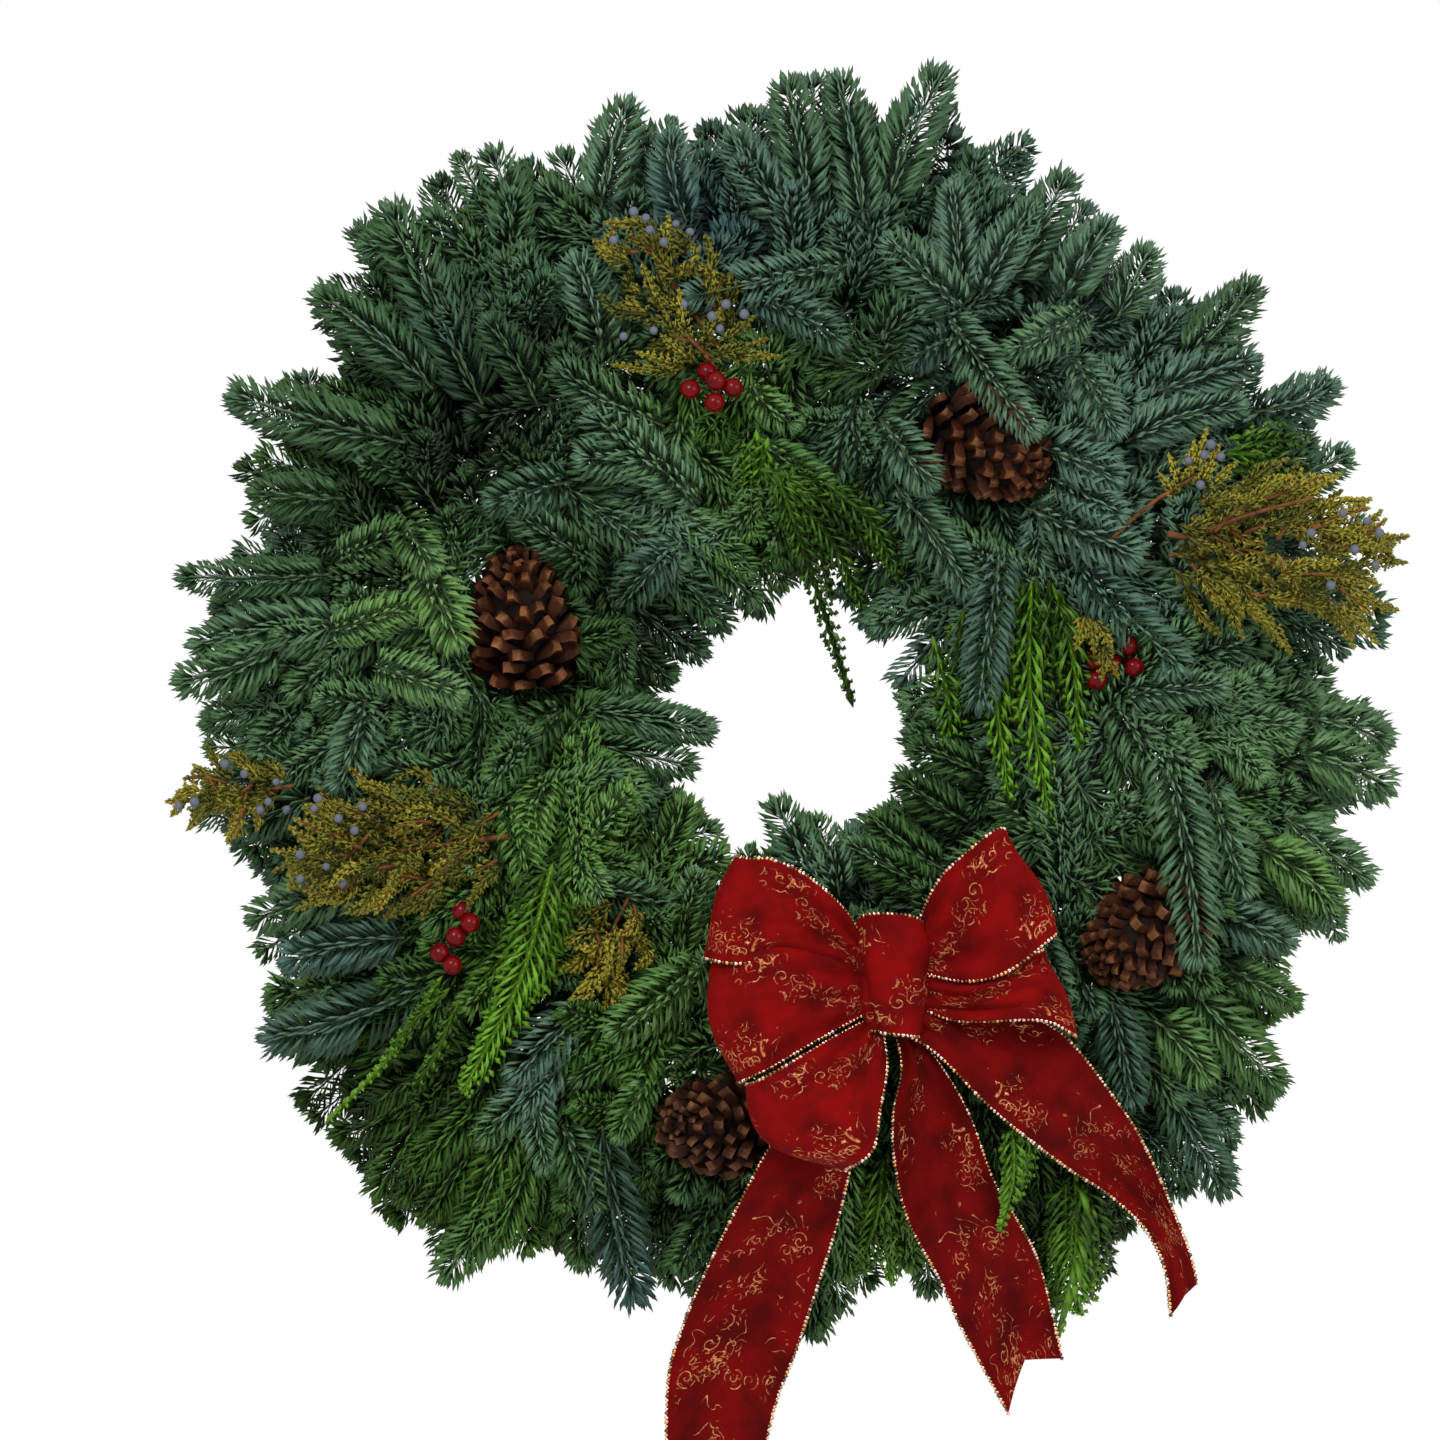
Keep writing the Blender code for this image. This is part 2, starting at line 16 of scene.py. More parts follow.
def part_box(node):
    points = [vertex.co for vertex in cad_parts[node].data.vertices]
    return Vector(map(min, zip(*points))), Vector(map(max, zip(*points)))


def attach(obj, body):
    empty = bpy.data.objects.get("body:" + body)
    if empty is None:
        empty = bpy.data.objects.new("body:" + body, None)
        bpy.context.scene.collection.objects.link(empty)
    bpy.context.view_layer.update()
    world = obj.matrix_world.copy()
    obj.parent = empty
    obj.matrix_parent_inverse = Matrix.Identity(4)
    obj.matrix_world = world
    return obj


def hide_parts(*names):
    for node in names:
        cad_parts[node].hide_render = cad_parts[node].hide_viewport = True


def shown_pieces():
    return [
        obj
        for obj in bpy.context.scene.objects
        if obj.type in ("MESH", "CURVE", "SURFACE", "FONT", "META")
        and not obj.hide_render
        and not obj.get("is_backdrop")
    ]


bl_info = {
    "name": "Evergreen wreath",
    "version": (1, 0, 0),
    "blender": (4, 5, 0),
    "location": "View3D > Sidebar > Wreath",
    "description": "Builds a bound evergreen wreath with cones, berries and a ribbon bow",
    "category": "Add Mesh",
}

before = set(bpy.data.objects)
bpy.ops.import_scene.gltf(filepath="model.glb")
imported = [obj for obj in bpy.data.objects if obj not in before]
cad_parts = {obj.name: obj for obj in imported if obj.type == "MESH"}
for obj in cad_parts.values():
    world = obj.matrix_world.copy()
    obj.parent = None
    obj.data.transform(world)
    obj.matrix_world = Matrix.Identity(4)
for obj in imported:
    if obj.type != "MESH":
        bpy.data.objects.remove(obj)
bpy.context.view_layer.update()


def middle_of(node):
    """Middle of a node's box."""
    low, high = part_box(node)
    return (low + high) / 2


def depths_of(node):
    """Rearmost and foremost depth of a node."""
    low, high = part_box(node)
    return CENTRE.y - high.y, CENTRE.y - low.y


def metres(lengths):
    """Lengths of a table that is in millimetres, in metres."""
    return np.array(lengths) / 1000


CENTRE = middle_of("wire_ring")
KNOT = middle_of("bow_knot")
BUNCHES = 18
STEP = 360 / BUNCHES

# The ring and the stems bound along it. The stems lie STEM_LAY round their middle, which is at
# STEM_DEPTH; the middle of ring and stems together is at BUNDLE_DEPTH, with the binding wire round
# it at BIND_R. No needle ends inside the bundle's half width and behind its front.
RING_R = 0.185
RING_WIRE = 0.002
STEM_DEPTH = 0.0078
BUNDLE_DEPTH = 0.00565
BUNDLE_HALF_WIDTH = 0.0125
BUNDLE_FRONT = 0.019
STEM_LAY = 0.0032
BIND_R = 0.00925
BIND_WIRE = 0.0006
BIND_TURNS = 36

# The hanging loop: radius of its arch, rise above the ring, wire, and its hook round the bundle.
LOOP_R = 0.011
LOOP_RISE = 0.045
LOOP_WIRE = 0.0009
WRAP_R = 0.0112
LOOP_DEPTH = BUNDLE_DEPTH - WRAP_R


# ---------------------------------------------------------------- settings

def length(name, description, value, low, high):
    return bpy.props.FloatProperty(name=name, description=description, default=value,
                                   min=low, max=high, unit="LENGTH")


def colour(name, description, value):
    return bpy.props.FloatVectorProperty(name=name, description=description, subtype="COLOR",
                                         size=3, min=0.0, max=1.0, default=value)


class WreathSizes(bpy.types.PropertyGroup):
    needle_length: length("Needle length", "Length of a full grown fir needle", 0.0158, 0.008, 0.04)
    needle_width: length("Needle width", "Width of a fir needle", 0.0016, 0.0005, 0.004)
    ribbon_width: length("Ribbon width", "Width of the bow's ribbon", 0.0635, 0.02, 0.12)
    bead: length("Edge bead", "Radius of the beads on the ribbon's wired edges",
                 0.00125, 0.0003, 0.003)
    berry: length("Berry radius", "Radius of a red berry", 0.0051, 0.002, 0.012)


class WreathColours(bpy.types.PropertyGroup):
    # Older needles, and also the colour that painted shade darkens the fir towards.
    fir_deep: colour("Fir, deep green", "Older fir needles", (0.048, 0.114, 0.038))
    fir_bloom: colour("Fir, pale bloom", "Needles with a pale waxy bloom", (0.112, 0.210, 0.128))
    fir_fresh: colour("Fir, fresh green", "Young fir needles", (0.150, 0.300, 0.075))
    fir_blue: colour("Fir, blue", "Needles with a blue bloom", (0.060, 0.125, 0.130))
    twig: colour("Fir twig", "Bark of the thin fir twigs", (0.105, 0.160, 0.080))
    stem: colour("Fir stem", "Bark of the stems bound to the ring", (0.140, 0.075, 0.040))
    cedar: colour("Cedar", "Cedar scale leaves", (0.165, 0.385, 0.024))
    # Older cedar leaves, and also the colour of painted shade at the feet of strands.
    cedar_dark: colour("Cedar, shaded", "Older cedar leaves", (0.030, 0.078, 0.009))
    juniper: colour("Juniper", "Juniper tips", (0.410, 0.350, 0.036))
    # Older juniper leaves, and also the colour of painted shade at the feet of twigs.
    juniper_dark: colour("Juniper, shaded", "Older juniper leaves", (0.105, 0.118, 0.016))
    juniper_berry: colour("Juniper berry", "Bloom on the juniper berries", (0.135, 0.145, 0.200))
    juniper_bark: colour("Juniper bark", "Bark of the juniper stems", (0.240, 0.084, 0.024))
    # Inner parts of the scales and the core, darker in part as painted shade of the recesses.
    cone_inside_and_shade: colour("Cone, inside", "Inner part of the cone scales", (0.012, 0.0045, 0.0022))
    cone_brown: colour("Cone, scale", "Outer part of the cone scales", (0.062, 0.0155, 0.0036))
    # Pale tips of the scales, brightened in part as painted highlight.
    cone_tip_and_highlight: colour("Cone, tip", "Tips of the cone scales", (0.300, 0.120, 0.045))
    berry_red: colour("Berry", "Lacquer of the red berries", (0.165, 0.0005, 0.0024))
    velvet: colour("Velvet", "Pile of the ribbon", (0.195, 0.0012, 0.0012))
    gold: colour("Gold", "Print and beads of the ribbon", (0.850, 0.430, 0.190))
    green_wire: colour("Green wire", "Painted ring and binding wire", (0.020, 0.060, 0.030))


# ---------------------------------------------------------------- places and curves

def flat(x, z, depth):
    """The point at x and z from the ring's middle, that far forward of it."""
    return np.array([CENTRE.x + x, CENTRE.y - depth, CENTRE.z + z])


def polar(radius, degrees, depth):
    """The point at a radius and an angle round the ring's middle, that far forward of it."""
    a = math.radians(degrees)
    return flat(radius * math.cos(a), radius * math.sin(a), depth)


def unit(v):
    return v / np.maximum(np.linalg.norm(v, axis=-1, keepdims=True), 1e-12)


def through(points, count):
    """A smooth curve through points, as count evenly spaced points."""
    p = np.asarray(points, float)
    padded = np.vstack([2 * p[0] - p[1], p, 2 * p[-1] - p[-2]])
    t = np.linspace(0, 1, 24, endpoint=False)[:, None]
    runs = []
    for i in range(len(p) - 1):
        a, b, c, d = padded[i:i + 4]
        runs.append(b + (c - a) * t / 2 + (a - 2.5 * b + 2 * c - d / 2) * t ** 2
                    + (1.5 * b - a / 2 - 1.5 * c + d / 2) * t ** 3)
    fine = np.vstack([*runs, p[-1:]])
    steps = np.linalg.norm(np.diff(fine, axis=0), axis=1)
    along = np.concatenate([[0], np.cumsum(steps)])
    at = np.linspace(0, along[-1], count)
    return np.column_stack([np.interp(at, along, fine[:, k]) for k in range(p.shape[1])])


def bezier(a, c, b, t):
    """Points at t on a curve from a to b that bends towards c, and directions there."""
    t = np.asarray(t)[:, None]
    point = (1 - t) ** 2 * a + 2 * t * (1 - t) * c + t * t * b
    slope = 2 * (1 - t) * (c - a) + 2 * t * (b - c)
    return point, unit(slope)


# ---------------------------------------------------------------- mesh building

def clear_selection():
    for o in bpy.context.selected_objects:
        o.select_set(False)


def activate(o):
    clear_selection()
    o.select_set(True)
    bpy.context.view_layer.objects.active = o


def apply_all(o):
    activate(o)
    for m in list(o.modifiers):
        bpy.ops.object.modifier_apply(modifier=m.name)


def template(o):
    """Vertices and triangles of a modelled object as arrays; the object is removed."""
    mesh = o.data
    mesh.calc_loop_triangles()
    points = np.array([v.co[:] for v in mesh.vertices], float)
    faces = np.array([t.vertices[:] for t in mesh.loop_triangles], int)
    bpy.data.objects.remove(o)
    return points, faces


def needle_template(belly, thick):
    """A closed four-faced needle one long in X, one wide in Y, widest at belly, ridged above."""
    clear_selection()
    bpy.ops.mesh.primitive_cone_add(vertices=3, radius1=1, radius2=0, depth=1,
                                    end_fill_type="NGON")
    points, faces = template(bpy.context.active_object)
    ring = points[:, 2] < 0
    root = ring & (np.abs(points[:, 0]) < 0.1)
    along = np.where(root, 0.0, np.where(ring, belly, 1.0))
    across = np.where(ring & ~root, np.sign(points[:, 0]) * 0.5, 0.0)
    return np.column_stack([along, across, np.where(across != 0, thick * -0.5, 0.0)]), faces


def tube_template(sides):
    """A closed tube one long in X with unit radius."""
    clear_selection()
    bpy.ops.mesh.primitive_cylinder_add(vertices=sides, radius=1, depth=1, end_fill_type="TRIFAN")
    points, faces = template(bpy.context.active_object)
    return np.column_stack([points[:, 2] + 0.5, points[:, 0], points[:, 1]]), faces


def ball_template(segments, rings):
    """A closed ball with unit radius."""
    clear_selection()
    bpy.ops.mesh.primitive_uv_sphere_add(segments=segments, ring_count=rings, radius=1)
    return template(bpy.context.active_object)


# Middling bloom, place along a copy and freshness, for tubes and juniper berries.
EVEN_LOOK = np.full(3, 0.5)


class Heap:
    """Triangles of many small copies, gathered into one mesh."""

    def __init__(self):
        self.points, self.faces, self.looks, self.slots = [], [], [], []
        self.count = 0

    def add(self, points, faces, looks, slot=0):
        """points are copies x vertices x 3, faces one copy's triangles, looks three numbers each."""
        copies, size = points.shape[:2]
        if copies == 0:
            return
        shift = (np.arange(copies) * size)[:, None, None] + self.count
        self.points.append(points.reshape(-1, 3))
        self.faces.append((faces[None] + shift).reshape(-1, 3))
        self.looks.append(np.broadcast_to(looks, points.shape).reshape(-1, 3))
        self.slots.append(np.full(copies * len(faces), slot))
        self.count += copies * size

    def object(self, name, materials, smooth=True):
        points, faces = np.concatenate(self.points), np.concatenate(self.faces)
        mesh = bpy.data.meshes.new(name)
        mesh.vertices.add(len(points))
        mesh.vertices.foreach_set("co", points.astype(np.float32).ravel())
        mesh.loops.add(faces.size)
        mesh.loops.foreach_set("vertex_index", faces.astype(np.int32).ravel())
        mesh.polygons.add(len(faces))
        mesh.polygons.foreach_set("loop_start", np.arange(0, faces.size, 3, dtype=np.int32))
        for m in materials:
            mesh.materials.append(m)
        mesh.polygons.foreach_set("material_index", np.concatenate(self.slots).astype(np.int32))
        mesh.update(calc_edges=True)
        if smooth:
            mesh.shade_smooth()
        layer = mesh.attributes.new("look", "FLOAT_COLOR", "POINT")
        rgba = np.column_stack([np.concatenate(self.looks), np.ones(len(points))])
        layer.data.foreach_set("color", rgba.astype(np.float32).ravel())
        o = bpy.data.objects.new(name, mesh)
        bpy.context.scene.collection.objects.link(o)
        return o


def grow(heap, shape, root, lead, up, long, wide, lift, looks):
    """Copies of a needle from root points, along unit directions, curling towards up by lift."""
    points, faces = shape
    side = unit(np.cross(up, lead))
    face = np.cross(lead, side)
    x, y, z = (points[None, :, k, None] for k in range(3))
    long, wide = (np.broadcast_to(v, len(root))[:, None, None] for v in (long, wide))
    made = (root[:, None] + lead[:, None] * x * long + face[:, None] * x ** 2 * lift * long
            + side[:, None] * y * wide + face[:, None] * z * wide)
    full = np.empty(made.shape)
    full[..., 0] = looks[:, 0, None]
    full[..., 1] = points[None, :, 0]
    full[..., 2] = looks[:, 1, None]
    heap.add(made, faces, full)


def tube_along(heap, shape, points, radius, slot):
    """A thin tube through points, made of closed lengths that overlap a little."""
    template_points, faces = shape
    points = np.asarray(points, float)
    radius = np.broadcast_to(radius, len(points))
    lead = unit(points[1:] - points[:-1])
    side = unit(np.cross(np.array([0.31, 0.2, 0.93]), lead))
    up = np.cross(lead, side)
    x, y, z = (template_points[None, :, k, None] for k in range(3))
    wide = radius[:-1, None, None] * (1 - x) + radius[1:, None, None] * x
    made = (points[:-1, None] * (1 - x) + points[1:, None] * x
            + wide * (side[:, None] * y + up[:, None] * z))
    heap.add(made, faces, EVEN_LOOK, slot)


def finish_piece(o, slot, *nodes):
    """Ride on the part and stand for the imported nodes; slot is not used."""
    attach(o, "root")
    if nodes:
        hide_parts(*nodes)
    return o


def paint(o, look):
    """Leave an object this one material."""
    o.data.materials.clear()
    o.data.materials.append(look)


def wire_object(name, points, radius, look, closed=False, sides=3):
    """A round wire along points, as a mesh."""
    curve = bpy.data.curves.new(name, "CURVE")
    curve.dimensions = "3D"
    curve.bevel_depth = radius
    curve.bevel_resolution = sides
    curve.use_fill_caps = True
    spline = curve.splines.new("POLY")
    spline.points.add(len(points) - 1)
    for p, q in zip(spline.points, points):
        p.co = (*q, 1.0)
    spline.use_cyclic_u = closed
    o = bpy.data.objects.new(name, curve)
    bpy.context.scene.collection.objects.link(o)
    activate(o)
    bpy.ops.object.convert(target="MESH")
    o = bpy.context.active_object
    o.data.shade_smooth()
    paint(o, look)
    return o


# ---------------------------------------------------------------- materials

def new_material(name, roughness=0.5, metallic=0.0, specular=0.5):
    """A new material, its node tree and its shader."""
    m = bpy.data.materials.new(name)
    m.use_nodes = True
    shader = m.node_tree.nodes["Principled BSDF"]
    shader.inputs["Roughness"].default_value = roughness
    shader.inputs["Metallic"].default_value = metallic
    shader.inputs["Specular IOR Level"].default_value = specular
    return m, m.node_tree, shader


def feed(tree, value, socket):
    """Link a socket or set a plain value; a colour gets its alpha."""
    if isinstance(value, bpy.types.NodeSocket):
        tree.links.new(value, socket)
    elif hasattr(value, "__len__"):
        socket.default_value = (*value, 1.0)
    else:
        socket.default_value = value


def dimmed(tone, *shares):
    """A colour at one share of its strength, or at a share for each of red, green and blue."""
    return tuple(np.multiply(tone, shares))


def mix_colour(tree, factor, a, b, blend="MIX"):
    n = tree.nodes.new("ShaderNodeMix")
    n.data_type = "RGBA"
    n.blend_type = blend
    feed(tree, factor, n.inputs[0])
    feed(tree, a, n.inputs[6])
    feed(tree, b, n.inputs[7])
    return n.outputs[2]


def sums(tree, operation, *values):
    """The result of one step of arithmetic on numbers or sockets."""
    n = tree.nodes.new("ShaderNodeMath")
    n.operation = operation
    for value, socket in zip(values, n.inputs):
        feed(tree, value, socket)
    return n.outputs[0]


def ramp(tree, value, low, high, to_low=0.0, to_high=1.0):
    """A value mapped from one range to another and held at the ends."""
    n = tree.nodes.new("ShaderNodeMapRange")
    feed(tree, value, n.inputs["Value"])
    for name, number in (("From Min", low), ("From Max", high), ("To Min", to_low),
                         ("To Max", to_high)):
        n.inputs[name].default_value = number
    return n.outputs[0]


def noise(tree, vector, scale, detail=2.0, distortion=0.0):
    n = tree.nodes.new("ShaderNodeTexNoise")
    n.inputs["Scale"].default_value = scale
    n.inputs["Detail"].default_value = detail
    n.inputs["Distortion"].default_value = distortion
    tree.links.new(vector, n.inputs["Vector"])
    return n.outputs["Fac"]


def object_place(tree):
    return tree.nodes.new("ShaderNodeTexCoord").outputs["Object"]


def look_parts(tree):
    """The look attribute's parts: bloom, which also carries painted light and shade, place along the
    copy, and freshness.
    """
    attribute = tree.nodes.new("ShaderNodeAttribute")
    attribute.attribute_name = "look"
    parts = tree.nodes.new("ShaderNodeSeparateColor")
    tree.links.new(attribute.outputs["Color"], parts.inputs[0])
    return parts.outputs


def bump(tree, shader, height, distance, strength=1.0):
    """Feed a height to the shader's normal."""
    n = tree.nodes.new("ShaderNodeBump")
    n.inputs["Distance"].default_value = distance
    n.inputs["Strength"].default_value = strength
    tree.links.new(height, n.inputs["Height"])
    tree.links.new(n.outputs[0], shader.inputs["Normal"])


def new_group(name, takes, gives):
    """A node group that takes a vector and named numbers, with its start and end nodes."""
    tree = bpy.data.node_groups.new(name, "ShaderNodeTree")
    tree.interface.new_socket("Vector", in_out="INPUT", socket_type="NodeSocketVector")
    for kind, numbers in (("INPUT", takes), ("OUTPUT", gives)):
        for number in numbers:
            tree.interface.new_socket(number, in_out=kind, socket_type="NodeSocketFloat")
    return tree, tree.nodes.new("NodeGroupInput"), tree.nodes.new("NodeGroupOutput")


def mottle_group():
    """Soft natural patchiness: a factor and a fine height, from object space."""
    tree, start, end = new_group("natural_mottle", ("Patch Scale", "Grain Scale"),
                                 ("Patches", "Grain"))
    for index, detail in ((1, 3.0), (2, 2.0)):
        n = tree.nodes.new("ShaderNodeTexNoise")
        n.inputs["Detail"].default_value = detail
        tree.links.new(start.outputs[0], n.inputs["Vector"])
        tree.links.new(start.outputs[index], n.inputs["Scale"])
        tree.links.new(n.outputs["Fac"], end.inputs[index - 1])
    return tree


def shared_group(make, name):
    """The node group of that name, made only once."""
    return bpy.data.node_groups.get(name) or make()


def mottle(tree, patch_scale, grain_scale):
    """(patches, grain) of the shared mottle group, read in object space."""
    n = tree.nodes.new("ShaderNodeGroup")
    n.node_tree = shared_group(mottle_group, "natural_mottle")
    tree.links.new(object_place(tree), n.inputs["Vector"])
    n.inputs["Patch Scale"].default_value = patch_scale
    n.inputs["Grain Scale"].default_value = grain_scale
    return n.outputs


def leaf_look(name, deep, pale, fresh=None, blue=None, painted_root_shade_tip_light=(0.82, 1.10), roughness=0.5):
    """Needles and scale leaves, coloured by the look attribute and mottled over the wreath, with painted
    shade and painted light.
    """
    fresh, blue = (pale if given is None else given for given in (fresh, blue))
    m, tree, shader = new_material(name, roughness, specular=0.24)
    bloom, along, tone = look_parts(tree)[:3]
    patches, grain = mottle(tree, 28, 900)
    amount = sums(tree, "ADD", bloom, ramp(tree, patches, 0.3, 0.7, -0.2, 0.2))
    base = mix_colour(tree, ramp(tree, amount, 0.0, 1.0), deep, pale)
    young = mix_colour(tree, ramp(tree, amount, -0.2, 1.0), dimmed(fresh, 0.42, 0.55, 0.22), fresh)
    base = mix_colour(tree, ramp(tree, tone, 0.0, 1.0), base, young)
    cool = mix_colour(tree, ramp(tree, amount, 0.0, 1.0, 0.35, 1.0), (0, 0, 0), blue)
    base = mix_colour(tree, ramp(tree, tone, 0.0, -1.0), base, cool)
    # Each needle or leaf is darker at its root, as painted shade, and brighter at its tip, as painted
    # light.
    shade = ramp(tree, along, 0.0, 1.0, *painted_root_shade_tip_light)
    # Bloom below zero darkens the colour: painted shade of hollows and of deeper shoots.
    shade = sums(tree, "MULTIPLY", shade, ramp(tree, amount, -1.0, 0.0, 0.26, 1.0))
    shade = sums(tree, "MULTIPLY", shade, ramp(tree, grain, 0.2, 0.8, 0.8, 1.2))
    tree.links.new(mix_colour(tree, 1.0, base, shade, "MULTIPLY"), shader.inputs["Base Color"])
    return m


def bark_look(name, tone):
    """Two-toned bark with a fine grain."""
    m, tree, shader = new_material(name, 0.8, specular=0.25)
    patches, grain = mottle(tree, 90, 1500)
    base = mix_colour(tree, ramp(tree, patches, 0.3, 0.7), dimmed(tone, 0.4), tone)
    tree.links.new(base, shader.inputs["Base Color"])
    bump(tree, shader, grain, 0.0004)
    return m


def painted_wire_look(name, tone):
    """Green enamelled wire, worn to dull steel in small chips."""
    m, tree, shader = new_material(name, 0.4, specular=0.5)
    patches, grain = mottle(tree, 260, 1800)
    chips = ramp(tree, patches, 0.66, 0.70)
    base = mix_colour(tree, chips, tone, (0.18, 0.17, 0.16))
    tree.links.new(base, shader.inputs["Base Color"])
    tree.links.new(chips, shader.inputs["Metallic"])
    bump(tree, shader, grain, 0.0002)
    return m


def steel_look(name):
    """Bare steel wire, dulled unevenly."""
    m, tree, shader = new_material(name, 0.3, metallic=1.0)
    patches, grain = mottle(tree, 180, 2400)
    base = mix_colour(tree, patches, (0.36, 0.36, 0.35), (0.62, 0.62, 0.60))
    tree.links.new(base, shader.inputs["Base Color"])
    tree.links.new(ramp(tree, grain, 0.2, 0.8, 0.22, 0.45), shader.inputs["Roughness"])
    return m


# ---------------------------------------------------------------- what lies in front of the fir

# How far behind the front of a cone needles are left out, so that none grow between its scales.
CONE_GAP = 0.030


class Cover:
    """Pieces that lie on the fir and keep its needles from growing over or through them."""

    def __init__(self, objects):
        points, faces, self.gaps = [], [], []
        for o in objects:
            mesh = o.data
            mesh.calc_loop_triangles()
            start = len(points)
            points += [v.co.copy() for v in mesh.vertices]
            faces += [[start + i for i in t.vertices] for t in mesh.loop_triangles]
            gap = CONE_GAP if o.name.startswith("pine_cone") else 0
            self.gaps += [gap] * len(mesh.loop_triangles)
        self.tree = BVHTree.FromPolygons(points, faces)

    def hides(self, points, margin):
        """True where a point lies in front of a piece, or too close behind its front."""
        inwards = Vector((0, 1, 0))
        found = np.zeros(len(points), bool)
        for i, (x, y, z) in enumerate(points):
            hit, _, face, _ = self.tree.ray_cast(Vector((x, -1.0, z)), inwards)
            found[i] = hit is not None and y < hit.y + margin + self.gaps[face]
        return found


# ---------------------------------------------------------------- fir

# Rows of needles round a shoot: turn from its right side in degrees, spacing, lean away from
# the shoot's line in degrees, share of the full length and share of the full width.
NEEDLE_ROWS = ((-10, 0.0024, 64, 1.0, 1.45), (190, 0.0024, 64, 1.0, 1.45),
               (22, 0.0034, 58, 0.98, 1.50), (158, 0.0034, 58, 0.98, 1.50),
               (58, 0.0052, 42, 0.74, 1.3), (122, 0.0052, 42, 0.74, 1.3))

# Needles round the end of a shoot, and the cut stems of each bunch.
END_NEEDLES = 18
STEMS = 5

# Coarse shoots lie deep or behind others: fewer, longer, broader needles, painted darker as shade.
COARSE_SPACING = 2.2
COARSE_LENGTH = 1.2
COARSE_WIDTH = 2.1
COARSE_PAINTED_SHADE = 0.25

# Loose inner twigs of each bunch: how many, half their length, and the smallest radius and the
# width of the band they fill.
FILLERS = 19
FILLER_HALF = 0.027
FILLER_FROM = 0.104
FILLER_BAND = 0.150


